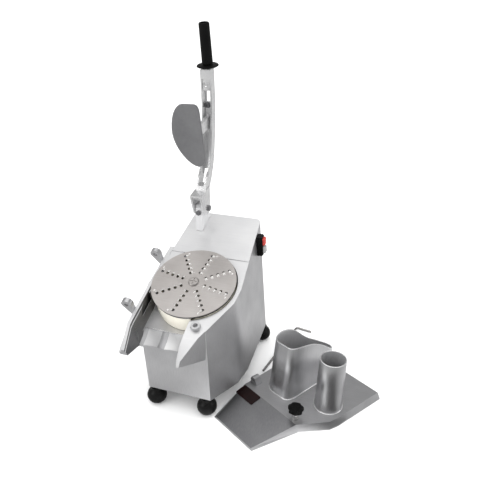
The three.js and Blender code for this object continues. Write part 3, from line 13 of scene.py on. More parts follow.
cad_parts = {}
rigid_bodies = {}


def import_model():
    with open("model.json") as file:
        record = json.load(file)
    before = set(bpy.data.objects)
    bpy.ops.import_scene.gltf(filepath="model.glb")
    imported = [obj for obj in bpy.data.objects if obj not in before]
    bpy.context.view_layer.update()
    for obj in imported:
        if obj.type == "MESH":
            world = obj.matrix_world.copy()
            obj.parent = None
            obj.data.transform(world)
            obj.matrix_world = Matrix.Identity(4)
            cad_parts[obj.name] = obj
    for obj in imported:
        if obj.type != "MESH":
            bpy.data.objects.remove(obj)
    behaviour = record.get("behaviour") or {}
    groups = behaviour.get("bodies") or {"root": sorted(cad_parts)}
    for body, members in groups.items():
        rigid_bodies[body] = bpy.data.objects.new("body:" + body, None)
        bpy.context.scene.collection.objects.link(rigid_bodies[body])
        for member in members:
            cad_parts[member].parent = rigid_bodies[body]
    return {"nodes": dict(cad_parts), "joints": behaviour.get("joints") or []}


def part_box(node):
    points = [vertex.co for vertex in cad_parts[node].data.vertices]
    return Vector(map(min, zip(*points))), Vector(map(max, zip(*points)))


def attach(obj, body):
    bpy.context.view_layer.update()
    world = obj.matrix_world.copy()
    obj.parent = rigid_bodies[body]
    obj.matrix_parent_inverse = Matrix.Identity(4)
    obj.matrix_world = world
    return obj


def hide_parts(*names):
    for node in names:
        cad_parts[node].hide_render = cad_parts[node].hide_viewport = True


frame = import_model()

log = logging.getLogger("vegetable_cutter")

Piece = bpy.types.Object
Mesh = bpy.types.Mesh
Face = bpy.types.MeshPolygon
Socket = bpy.types.NodeSocket
Pair = tuple[float, float]
Curve = tuple[Pair, ...]
Point = tuple[float, float, float]
Colour = tuple[float, float, float]

MM = 0.001
JOINED = 0.02 * MM
FLAT = math.radians(1)
TOUCHING = 0.001 * MM
ROUNDED_FROM = math.radians(30)
SHARP_FROM = math.radians(32)
EVENING = 80


class Body(Enum):
    """The bodies that the pieces ride on."""

    MACHINE = "machine"
    DISC = "disc"
    LEVER = "lever"
    STOP = "stop_button"
    START = "start_button"
    LID = "lid"
    KNOB = "lock_knob"
    ROD = "hinge_rod"


class Brush(Enum):
    """Which way a polishing belt ran over a surface, as the scale of its streaks."""

    ALONG_X = (14.0, 900.0, 900.0)
    ALONG_Y = (900.0, 14.0, 900.0)
    ALONG_Z = (900.0, 900.0, 14.0)
    NONE = (160.0, 160.0, 160.0)


@dataclass(frozen=True)
class Layout:
    """Places of the machine's own frames in the row frame."""

    pivot: Point = (-0.0565, 0.318, 0.389003)
    deck_origin: Point = (-0.007, 0.1253, 0.2769)
    deck_tilt: float = math.radians(21.3)
    lid_origin: Point = (0.2017, 0.0615, 0.0)
    lid_turn: float = math.radians(-31.8)

    def shift(self) -> Vector:
        """Move from the machine's own frame to the row frame."""
        hinge = next(j for j in frame["joints"] if j["name"] == "lever_hinge")
        return Vector(hinge["pos_m"]) - Vector(self.pivot)

    def machine(self) -> Matrix:
        """Matrix of the machine's own frame."""
        return Matrix.Translation(self.shift())

    def deck(self) -> Matrix:
        """Matrix of the sloping deck's frame, at the middle of the disc's top."""
        turn = Matrix.Rotation(self.deck_tilt, 4, "X")
        return self.machine() @ Matrix.Translation(self.deck_origin) @ turn

    def lid(self) -> Matrix:
        """Matrix of the hopper lid's frame."""
        turn = Matrix.Rotation(self.lid_turn, 4, "Z")
        return self.machine() @ Matrix.Translation(self.lid_origin) @ turn

    def lever(self) -> Matrix:
        """Matrix of the lever's frame, at its hinge pin."""
        return self.machine() @ Matrix.Translation(self.pivot)


LAYOUT = Layout()


class NodeKit:
    """Short calls for laying out a node tree."""

    def __init__(self, tree: bpy.types.NodeTree) -> None:
        """Keep the tree that the nodes go into.

        Args:
            tree: A shader or geometry node tree.
        """
        self.tree = tree

    def feed(self, target: Socket, value: object) -> None:
        """Give an input socket a link from another socket, or a plain value.

        Args:
            target: The input socket.
            value: An output socket, or what the input is set to.
        """
        if isinstance(value, Socket):
            self.tree.links.new(value, target)
        else:
            target.default_value = value

    def node(self, kind: str, inputs: dict[str | int, object] | None = None,
             **settings: object) -> bpy.types.Node:
        """Add a node, set its properties and feed its inputs.

        Args:
            kind: The node's type name.
            inputs: What each input gets, by its name or number.
            settings: Properties to set on it first.

        Returns:
            The new node.
        """
        made = self.tree.nodes.new(kind)
        for name, value in settings.items():
            setattr(made, name, value)
        for place, value in (inputs or {}).items():
            self.feed(made.inputs[place], value)
        return made

    def ranged(self, value: Socket, low: float, high: float, start: float = 0.0,
               end: float = 1.0) -> Socket:
        """Map a value from start..end to low..high.

        Args:
            value: The value's socket.
            low: Result at start.
            high: Result at end.
            start: Lower end of the input.
            end: Upper end of the input.

        Returns:
            The mapped value's socket.
        """
        mapped = self.node("ShaderNodeMapRange", {
            "From Min": start, "From Max": end, "To Min": low, "To Max": high, "Value": value})
        return mapped.outputs["Result"]

    def noise(self, vector: Socket, scale: object, detail: float, reach: Pair) -> Socket:
        """Add a noise texture and spread its values over nought to one.

        Args:
            vector: Where the noise is read.
            scale: Its scale, a socket or a number.
            detail: Its detail.
            reach: Values of the noise that become nought and one.

        Returns:
            The spread value's socket.
        """
        texture = self.node("ShaderNodeTexNoise", {"Scale": scale, "Detail": detail, "Vector": vector})
        return self.ranged(texture.outputs["Fac"], 0.0, 1.0, *reach)

    def math(self, operation: str, first: object, second: object) -> Socket:
        """Combine two sockets or numbers by a math node's operation."""
        return self.node("ShaderNodeMath", {0: first, 1: second}, operation=operation).outputs[0]

    def mixed(self, share: Socket, first: object, second: object, kind: str = "FLOAT") -> Socket:
        """Blend from a first value or colour to a second one by a share."""
        made = self.node("ShaderNodeMix", {"A": first, "B": second, "Factor": share}, data_type=kind)
        return made.outputs["Result"]


# Finishes

def surface_group() -> bpy.types.NodeTree:
    """Build the shared surface group: streaks from a belt, slow clouds and fine pits.

    Returns:
        The shader node group.
    """
    known = bpy.data.node_groups.get("worked_surface")
    if known:
        return known
    tree = bpy.data.node_groups.new("worked_surface", "ShaderNodeTree")
    sockets = tree.interface
    for name in ("Position", "Brush"):
        sockets.new_socket(name, in_out="INPUT", socket_type="NodeSocketVector")
    for name in ("Cloud Scale", "Pit Scale"):
        sockets.new_socket(name, in_out="INPUT", socket_type="NodeSocketFloat")
    for name in ("Streak", "Cloud", "Pit"):
        sockets.new_socket(name, in_out="OUTPUT", socket_type="NodeSocketFloat")
    kit = NodeKit(tree)
    given = kit.node("NodeGroupInput").outputs
    result = kit.node("NodeGroupOutput").inputs
    stretched = kit.node("ShaderNodeVectorMath", {0: given["Position"], 1: given["Brush"]},
                         operation="MULTIPLY").outputs[0]
    for name, place, scale, detail, reach in (
            ("Streak", stretched, 1.0, 3.0, (0.3, 0.7)),
            ("Cloud", given["Position"], given["Cloud Scale"], 2.0, (0.28, 0.72)),
            ("Pit", given["Position"], given["Pit Scale"], 4.0, (0.28, 0.72))):
        kit.feed(result[name], kit.noise(place, scale, detail, reach))
    return tree


@dataclass(frozen=True)
class Finish:
    """One material: its colours, how rough it is and the marks of how it was made."""

    name: str
    light: Colour
    dark: Colour
    rough: Pair
    metallic: float
    brush: Brush = Brush.NONE
    cloud_scale: float = 9.0
    pit_scale: float = 900.0
    streak_share: float = 0.5
    bump: float = 0.06
    bump_reach: float = 0.00012
    coat: float = 0.0
    specular: float = 0.5
    anisotropic: float = 0.0

    def material(self) -> bpy.types.Material:
        """Build the material once and return it.

        Returns:
            The Blender material.
        """
        name = f"{self.name}_finish"
        known = bpy.data.materials.get(name)
        if known:
            return known
        made = bpy.data.materials.new(name)
        made.use_nodes = True
        kit = NodeKit(made.node_tree)
        shader = made.node_tree.nodes["Principled BSDF"].inputs
        shader["Metallic"].default_value = self.metallic
        shader["Coat Weight"].default_value = self.coat
        shader["Specular IOR Level"].default_value = self.specular
        if self.anisotropic:
            shader["Anisotropic"].default_value = self.anisotropic
            tangent = kit.node("ShaderNodeTangent", direction_type="RADIAL", axis="Z")
            kit.feed(shader["Tangent"], tangent.outputs[0])
        place = kit.node("ShaderNodeTexCoord").outputs["Object"]
        marks = kit.node("ShaderNodeGroup", {
            "Brush": self.brush.value, "Cloud Scale": self.cloud_scale, "Pit Scale": self.pit_scale,
            "Position": place}, node_tree=surface_group()).outputs
        rest = 1.0 - self.streak_share
        streak = kit.math("MULTIPLY", marks["Streak"], self.streak_share)
        worked = kit.math("ADD", streak, kit.math("MULTIPLY", marks["Cloud"], rest))
        colour = kit.mixed(worked, (*self.dark, 1.0), (*self.light, 1.0), "RGBA")
        height = kit.math("ADD", kit.math("MULTIPLY", marks["Pit"], rest), streak)
        bump = kit.node("ShaderNodeBump", {"Strength": self.bump, "Distance": self.bump_reach,
                                           "Height": height})
        kit.feed(shader["Base Color"], colour)
        kit.feed(shader["Roughness"], kit.ranged(worked, self.rough[1], self.rough[0]))
        kit.feed(shader["Normal"], bump.outputs["Normal"])
        return made


# Each finish: colour where it is bright and where it is dull, least and most roughness, share of metal
# Painted light: a lighter copy of the cast aluminium for faces that look up (deck, wing's top, horn,
# apron), brighter where the overhead light falls.
PAINTED_LIGHT_ALUMINIUM = Finish("ground_aluminium", (0.8, 0.8, 0.8), (0.69, 0.69, 0.7), (0.3, 0.42),
                          0.74, Brush.ALONG_X, streak_share=0.35, cloud_scale=11.0)
# Painted shade: a dark copy of the aluminium for the wing's inner wall and the disc carrier, standing for
# the shade in these recesses.
DEEP_SHADE_ALUMINIUM = Finish("inner_aluminium", (0.3, 0.3, 0.31), (0.2, 0.2, 0.21), (0.3, 0.44),
                         1.0, Brush.ALONG_Y, streak_share=0.4, cloud_scale=13.0)
WALL_ALUMINIUM = Finish("wall_aluminium", (0.78, 0.78, 0.79), (0.6, 0.6, 0.61), (0.34, 0.48),
                        1.0, Brush.ALONG_Z, streak_share=0.3, cloud_scale=13.0)
HOPPER_ALUMINIUM = Finish("hopper_aluminium", (0.74, 0.74, 0.75), (0.6, 0.6, 0.61), (0.28, 0.36),
                          1.0, Brush.ALONG_Z, streak_share=0.45, cloud_scale=16.0, anisotropic=0.75)
# Painted shade: a darker copy of the aluminium for the insides of the hoppers and the ends of the apron's
# flutes.
PAINTED_SHADE_ALUMINIUM = Finish("liner_aluminium", (0.5, 0.5, 0.51), (0.38, 0.38, 0.39), (0.26, 0.36),
                         0.55, Brush.ALONG_Z, streak_share=0.45, cloud_scale=16.0)
# Painted shade: a dark copy of the lid's aluminium for the sloping flap, standing for the shade of its
# slope.
FLAP_SHADE_ALUMINIUM = Finish("flap_aluminium", (0.36, 0.36, 0.37), (0.25, 0.25, 0.26), (0.34, 0.46),
                        1.0, Brush.ALONG_Y, streak_share=0.4, cloud_scale=12.0)
PLATE_ALUMINIUM = Finish("plate_aluminium", (0.62, 0.62, 0.63), (0.48, 0.48, 0.49), (0.38, 0.5),
                         1.0, Brush.ALONG_X, streak_share=0.4, cloud_scale=18.0)
# Painted light: a lighter copy of the cast aluminium for the lever bracket, brightened where the fork
# shades it.
BRACKET_LIT_ALUMINIUM = Finish("bracket_aluminium", (0.9, 0.9, 0.91), (0.8, 0.8, 0.81), (0.26, 0.36),
                           0.5, Brush.ALONG_Z, streak_share=0.3, cloud_scale=30.0, bump=0.03)
# Real polish on the lever and its clamp and socket; on the hoppers' beads and rims and on the channel
# floor's edge bead it is a painted highlight.
POLISH_AND_HIGHLIGHT_ALUMINIUM = Finish("polished_aluminium", (0.9, 0.9, 0.9), (0.74, 0.74, 0.75), (0.18, 0.3),
                            0.84, Brush.ALONG_Z, streak_share=0.3, cloud_scale=30.0, bump=0.05)
# Painted shade: a dark copy of the aluminium for the presser plate, standing for the shade on its
# downward face.
PRESSER_SHADE_ALUMINIUM = Finish("presser_aluminium", (0.39, 0.39, 0.4), (0.3, 0.3, 0.31), (0.42, 0.55),
                           1.0, Brush.NONE, streak_share=0.2, cloud_scale=14.0)
DISC_STEEL = Finish("disc_steel", (0.64, 0.61, 0.59), (0.52, 0.49, 0.47), (0.3, 0.42),
                    1.0, Brush.ALONG_X, streak_share=0.5, cloud_scale=20.0)
# Painted highlight: a lighter copy of the disc's steel for the raised lips and rivets.
LIP_SHEEN_STEEL = Finish("lip_steel", (0.88, 0.86, 0.84), (0.7, 0.68, 0.66), (0.16, 0.28),
                   0.66, Brush.NONE, streak_share=0.3, cloud_scale=60.0)
BRIGHT_STEEL = Finish("bright_steel", (0.75, 0.74, 0.73), (0.58, 0.57, 0.56), (0.16, 0.28),
                      1.0, Brush.ALONG_Z, streak_share=0.4)
DULL_STEEL = Finish("dull_steel", (0.34, 0.34, 0.35), (0.18, 0.18, 0.19), (0.32, 0.5), 1.0)
BLACK_PLASTIC = Finish("black_plastic", (0.005, 0.005, 0.005), (0.003, 0.003, 0.003), (0.3, 0.45),
                       0.0, cloud_scale=25.0, streak_share=0.0, bump=0.12, pit_scale=2200.0,
                       specular=0.1)
GREY_PLASTIC = Finish("grey_plastic", (0.42, 0.42, 0.42), (0.34, 0.34, 0.34), (0.25, 0.38),
                      0.0, cloud_scale=40.0, streak_share=0.0, bump=0.06)
BADGE_PLASTIC = Finish("badge_plastic", (0.012, 0.003, 0.003), (0.006, 0.002, 0.002), (0.3, 0.42),
                       0.0, cloud_scale=40.0, streak_share=0.0, bump=0.05, specular=0.25)
RED_PLASTIC = Finish("red_plastic", (0.62, 0.07, 0.05), (0.42, 0.035, 0.03), (0.2, 0.32),
                     0.0, cloud_scale=60.0, streak_share=0.0, bump=0.04, coat=0.3)
CREAM_PLASTIC = Finish("cream_plastic", (0.94, 0.91, 0.8), (0.86, 0.82, 0.71), (0.38, 0.52),
                       0.0, cloud_scale=22.0, streak_share=0.0, bump=0.08)
RUBBER = Finish("foot_rubber", (0.006, 0.006, 0.006), (0.003, 0.003, 0.003), (0.26, 0.42),
                0.0, cloud_scale=40.0, streak_share=0.0, bump=0.12, pit_scale=1500.0, specular=0.2)
MOTOR_PAINT = Finish("motor_paint", (0.09, 0.1, 0.11), (0.05, 0.055, 0.06), (0.4, 0.55),
                     0.0, cloud_scale=30.0, streak_share=0.0, bump=0.1)


# Tools for meshes and pieces

def added(name: str, data: bpy.types.ID) -> Piece:
    """Put a new object with some data in the scene.

    Args:
        name: The object's name.
        data: Its mesh, light or camera.

    Returns:
        The new object, at the origin.
    """
    made = bpy.data.objects.new(name, data)
    bpy.context.scene.collection.objects.link(made)
    return made


def evaluated(piece: Piece) -> Mesh:
    """Plain mesh of an object with its modifiers applied."""
    graph = bpy.context.evaluated_depsgraph_get()
    return bpy.data.meshes.new_from_object(piece.evaluated_get(graph))


def finished(piece: Piece, finish: Finish, body: Body,
             nodes: Iterable[str] = ()) -> Piece:
    """Give a piece its material and body, and hide the CAD nodes that it stands for.

    Args:
        piece: The finished mesh object.
        finish: Its finish.
        body: The body that it rides on.
        nodes: CAD nodes that it replaces.

    Returns:
        The piece.
    """
    piece.data.materials.clear()
    piece.data.materials.append(finish.material())
    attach(piece, body.value)
    if nodes:
        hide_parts(*nodes)
    log.info("%s: %d faces on %s", piece.name, len(piece.data.polygons), body.value)
    return piece


def refinished(piece: Piece, finish: Finish,
               chosen: Callable[[Face], bool]) -> None:
    """Give some faces of a finished piece another finish.

    Args:
        piece: The finished piece.
        finish: The other finish.
        chosen: Says whether a face gets it.
    """
    piece.data.materials.append(finish.material())
    index = len(piece.data.materials) - 1
    for face in piece.data.polygons:
        if chosen(face):
            face.material_index = index


def placed(name: str, mesh: Mesh) -> Piece:
    """Put a mesh in the scene as an object at the origin, with its sharp edges kept sharp.

    Args:
        name: The object's name.
        mesh: Its mesh, already in place.

    Returns:
        The new object.
    """
    mesh.name = name
    mesh.shade_smooth()
    mesh.set_sharp_from_angle(angle=SHARP_FROM)
    return added(name, mesh)


def closed(name: str, shape: bmesh.types.BMesh) -> Mesh:
    """Turn a bmesh into a mesh and free it.

    Args:
        name: The mesh's name.
        shape: The bmesh.

    Returns:
        The mesh.
    """
    mesh = bpy.data.meshes.new(name)
    shape.to_mesh(mesh)
    shape.free()
    return mesh


def from_bmesh(name: str, shape: bmesh.types.BMesh, matrix: Matrix | None = None) -> Piece:
    """Turn a bmesh into a placed object.

    Args:
        name: The object's name.
        shape: The bmesh, which is freed.
        matrix: Frame that the shape was drawn in.

    Returns:
        The new object.
    """
    if matrix is not None:
        shape.transform(matrix)
    return placed(name, closed(name, shape))


def edge_angle(edge: bmesh.types.BMEdge) -> float:
    """Angle between the two faces of an edge."""
    return edge.calc_face_angle(0.0) if len(edge.link_faces) == 2 else 0.0


def merged(node: str, merge: float = JOINED) -> Mesh:
    """Copy a CAD node's mesh with its loose triangles joined.

    Args:
        node: The CAD node.
        merge: Distance within which corners are joined.

    Returns:
        The joined copy.
    """
    shape = bmesh.new()
    shape.from_mesh(frame["nodes"][node].data)
    bmesh.ops.remove_doubles(shape, verts=shape.verts, dist=merge)
    return closed(node, shape)


def evened(piece: Piece) -> Piece:
    """Turn the shading normals towards a piece's large faces, so that flat faces look flat.

    Args:
        piece: A placed piece.

    Returns:
        The piece, with the normals kept in its mesh.
    """
    modifier = piece.modifiers.new("even", "WEIGHTED_NORMAL")
    modifier.keep_sharp = True
    modifier.weight = EVENING
    mesh = evaluated(piece)
    piece.modifiers.remove(modifier)
    plain = piece.data
    piece.data = mesh
    bpy.data.meshes.remove(plain)
    mesh.name = piece.name
    return piece


def rounded(name: str, source: Mesh, width: float, segments: int = 2, merge: float = JOINED) -> Piece:
    """Round the sharp edges of a mesh.

    Args:
        name: Name of the piece.
        source: The mesh, already in place.
        width: How wide each rounded edge is, in metres.
        segments: Faces across a rounded edge.
        merge: Distance within which corners are joined.

    Returns:
        The softened piece.
    """
    shape = bmesh.new()
    shape.from_mesh(source)
    bmesh.ops.remove_doubles(shape, verts=shape.verts, dist=merge)
    bmesh.ops.dissolve_degenerate(shape, edges=shape.edges, dist=merge)
    bmesh.ops.dissolve_limit(shape, angle_limit=FLAT, verts=shape.verts, edges=shape.edges)
    edges = [edge for edge in shape.edges if edge_angle(edge) > ROUNDED_FROM]
    if width > 0 and edges:
        bmesh.ops.bevel(shape, geom=edges, offset=width, segments=segments, profile=0.5,
                        affect="EDGES", clamp_overlap=True, offset_type="OFFSET")
    return evened(from_bmesh(name, shape))


def taken(scratch: Piece) -> Mesh:
    """Take the mesh of a scratch piece and remove the piece.

    Args:
        scratch: The piece.

    Returns:
        Its mesh.
    """
    mesh = scratch.data
    bpy.data.objects.remove(scratch)
    return mesh


def dressed(node: str, width: float, finish: Finish, body: Body, segments: int = 2,
            merge: float = JOINED) -> Piece:
    """Copy a CAD node, round its edges and put the copy in the node's place.

    Args:
        node: The CAD node.
        width: How wide each rounded edge is, in metres.
        finish: The copy's finish.
        body: The body that it rides on.
        segments: Faces across a rounded edge.
        merge: Distance within which corners are joined.

    Returns:
        The dressed copy.
    """
    copy = rounded(f"{node}_finished", merged(node, merge), width, segments, merge)
    return finished(copy, finish, body, [node])


def loft(name: str, sections: Sequence[Sequence[Point]], matrix: Matrix,
         ring: bool = False) -> Piece:
    """Skin closed outlines of as many points each, in millimetres.

    Args:
        name: The object's name.
        sections: The outlines in order.
        matrix: Frame that they are drawn in.
        ring: Whether the last outline joins the first one.

    Returns:
        The closed piece.
    """
    shape = bmesh.new()
    rows = [[shape.verts.new(Vector(point) * MM) for point in section] for section in sections]
    pairs = list(zip(rows, rows[1:])) + ([(rows[-1], rows[0])] if ring else [])
    for low, high in pairs:
        for i in range(len(low)):
            j = (i + 1) % len(low)
            shape.faces.new((low[i], low[j], high[j], high[i]))
    if not ring:
        shape.faces.new(list(reversed(rows[0])))
        shape.faces.new(rows[-1])
    bmesh.ops.recalc_face_normals(shape, faces=shape.faces)
    return from_bmesh(name, shape, matrix)


def block(name: str, low: Point, high: Point, matrix: Matrix) -> Piece:
    """Box between two corners, in millimetres, as a cutter or filler for a larger form."""
    outline = [(low[0], low[1]), (high[0], low[1]), (high[0], high[1]), (low[0], high[1])]
    return loft(name, [[(x, y, z) for x, y in outline] for z in (low[2], high[2])], matrix)


def carved(base: Piece, tools: Sequence[tuple[str, Piece]]) -> Mesh:
    """Add and cut solids in order and return the plain mesh.

    Args:
        base: The solid that is worked on.
        tools: UNION or DIFFERENCE with each solid, which is used up.

    Returns:
        The carved mesh.
    """
    for operation, tool in tools:
        modifier = base.modifiers.new(tool.name, "BOOLEAN")
        modifier.operation = operation
        modifier.solver = "MANIFOLD"
        modifier.object = tool
    mesh = evaluated(base)
    for used in (base, *(tool for _, tool in tools)):
        bpy.data.objects.remove(used)
    return mesh


def smoothstep(value: float) -> float:
    """Ease from nought to one."""
    share = min(1.0, max(0.0, value))
    return share * share * (3 - 2 * share)


def between(value: float, places: Sequence[Pair]) -> float:
    """Read a straight-line graph of rising places.

    Args:
        value: Where the graph is read.
        places: Its corners.

    Returns:
        The height of the graph there.
    """
    for (start, low), (end, high) in zip(places, places[1:]):
        if value <= end:
            return low + (high - low) * (value - start) / (end - start)
    return places[-1][1]


def lathe(name: str, profile: Sequence[Pair], matrix: Matrix,
          segments: int) -> Piece:
    """Turn a profile of radius and height, in millimetres, about Z.

    Args:
        name: The object's name.
        profile: Points from the foot up; a radius of zero closes the end.
        matrix: Frame that the profile is drawn in.
        segments: Faces round the axis.

    Returns:
        The turned piece.
    """
    shape = bmesh.new()
    rings = []
    for radius, height in profile:
        if radius == 0:
            rings.append([shape.verts.new((0, 0, height * MM))])
            continue
        ring = []
        for i in range(segments):
            angle = 2 * math.pi * i / segments
            ring.append(shape.verts.new((radius * MM * math.cos(angle), radius * MM * math.sin(angle),
                                         height * MM)))
        rings.append(ring)
    for low, high in zip(rings, rings[1:]):
        for i in range(segments):
            j = (i + 1) % segments
            corners = [low[i % len(low)], low[j % len(low)], high[j % len(high)], high[i % len(high)]]
            shape.faces.new(list(dict.fromkeys(corners)))
    bmesh.ops.remove_doubles(shape, verts=shape.verts, dist=TOUCHING)
    bmesh.ops.recalc_face_normals(shape, faces=shape.faces)
    return from_bmesh(name, shape, matrix)


def united(name: str, parts: Sequence[Piece]) -> Piece:
    """Put several pieces in one mesh.

    Args:
        name: The object's name.
        parts: The pieces, which are used up.

    Returns:
        The joined piece.
    """
    shape = bmesh.new()
    for part in parts:
        shape.from_mesh(taken(part))
    return from_bmesh(name, shape)


def turned_outline(radius: float, steps: int, centre: Pair = (0.0, 0.0)) -> list[Pair]:
    """Points of a circle, in millimetres."""
    angles = [2 * math.pi * i / steps for i in range(steps)]
    return [(centre[0] + radius * math.cos(a), centre[1] + radius * math.sin(a)) for a in angles]


def offset(points: Sequence[Pair], index: int) -> Pair:
    """Outward unit normal at a corner of an anticlockwise outline.

    Args:
        points: The outline.
        index: Which corner.

    Returns:
        The normal's two parts.
    """
    before, after = points[index - 1], points[(index + 1) % len(points)]
    along = Vector((after[0] - before[0], after[1] - before[1])).normalized()
    return along.y, -along.x


def spot(face: Face) -> Vector:
    """Middle of a face in the machine's own frame, in millimetres."""
    return LAYOUT.machine().inverted() @ face.center / MM


class NodesPiece:
    """A Geometry Nodes tree built in code and applied to a mesh once."""

    kinds: dict[type, str] = {float: "NodeSocketFloat", int: "NodeSocketInt", Piece: "NodeSocketObject"}

    def __init__(self, name: str, values: dict[str, object]) -> None:
        """Open the tree and its named inputs.

        Args:
            name: The tree's name.
            values: What each input gets: a length or angle, a whole number or a scratch piece.
        """
        self.tree = bpy.data.node_groups.new(name, "GeometryNodeTree")
        self.values = values
        sockets = self.tree.interface
        sockets.new_socket("Geometry", in_out="OUTPUT", socket_type="NodeSocketGeometry")
        self.ids = {}
        for key, value in values.items():
            made = sockets.new_socket(key, in_out="INPUT", socket_type=self.kinds[type(value)])
            self.ids[key] = made.identifier
        self.kit = NodeKit(self.tree)
        self.sizes = self.kit.node("NodeGroupInput").outputs
        self.leave = self.kit.node("NodeGroupOutput")

    def vector(self, x: object, y: object, z: object) -> Socket:
        """Combine three sockets or numbers into a vector."""
        return self.kit.node("ShaderNodeCombineXYZ", {0: x, 1: y, 2: z}).outputs[0]

    def turned(self, angle: Socket) -> Socket:
        """Euler rotation about Z by an angle."""
        return self.vector(0.0, 0.0, angle)

    def instances(self, points: Socket, shape: Socket, rotation: Socket | None = None) -> Socket:
        """Repeat a shape on points and realise it.

        Args:
            points: Where the shape is repeated.
            shape: Geometry that is repeated.
            rotation: Euler rotation of each one.

        Returns:
            The realised geometry's socket.
        """
        made = self.kit.node("GeometryNodeInstanceOnPoints", {"Points": points, "Instance": shape})
        if rotation is not None:
            self.kit.feed(made.inputs["Rotation"], rotation)
        real = self.kit.node("GeometryNodeRealizeInstances", {"Geometry": made.outputs["Instances"]})
        return real.outputs["Geometry"]

    def result(self, name: str, geometry: Socket, finish: Finish, matrix: Matrix) -> Piece:
        """Close the tree with its material, evaluate it and place the plain mesh.

        Args:
            name: The object's name.
            geometry: The last geometry socket.
            finish: The piece's finish.
            matrix: Frame that the tree draws in.

        Returns:
            The placed piece.
        """
        real = self.kit.node("GeometryNodeRealizeInstances", {"Geometry": geometry})
        paint = self.kit.node("GeometryNodeSetMaterial", {
            "Geometry": real.outputs["Geometry"], "Material": finish.material()})
        self.kit.feed(self.leave.inputs["Geometry"], paint.outputs["Geometry"])
        carrier = added("carrier", bpy.data.meshes.new("carrier"))
        modifier = carrier.modifiers.new("nodes", "NODES")
        modifier.node_group = self.tree
        for key, value in self.values.items():
            modifier[self.ids[key]] = value
        mesh = evaluated(carrier)
        bpy.data.objects.remove(carrier)
        for value in self.values.values():
            if isinstance(value, Piece):
                bpy.data.objects.remove(value)
        mesh.transform(matrix)
        return placed(name, mesh)


# Sub-assemblies: a size with MM is in metres, and one without it in millimetres

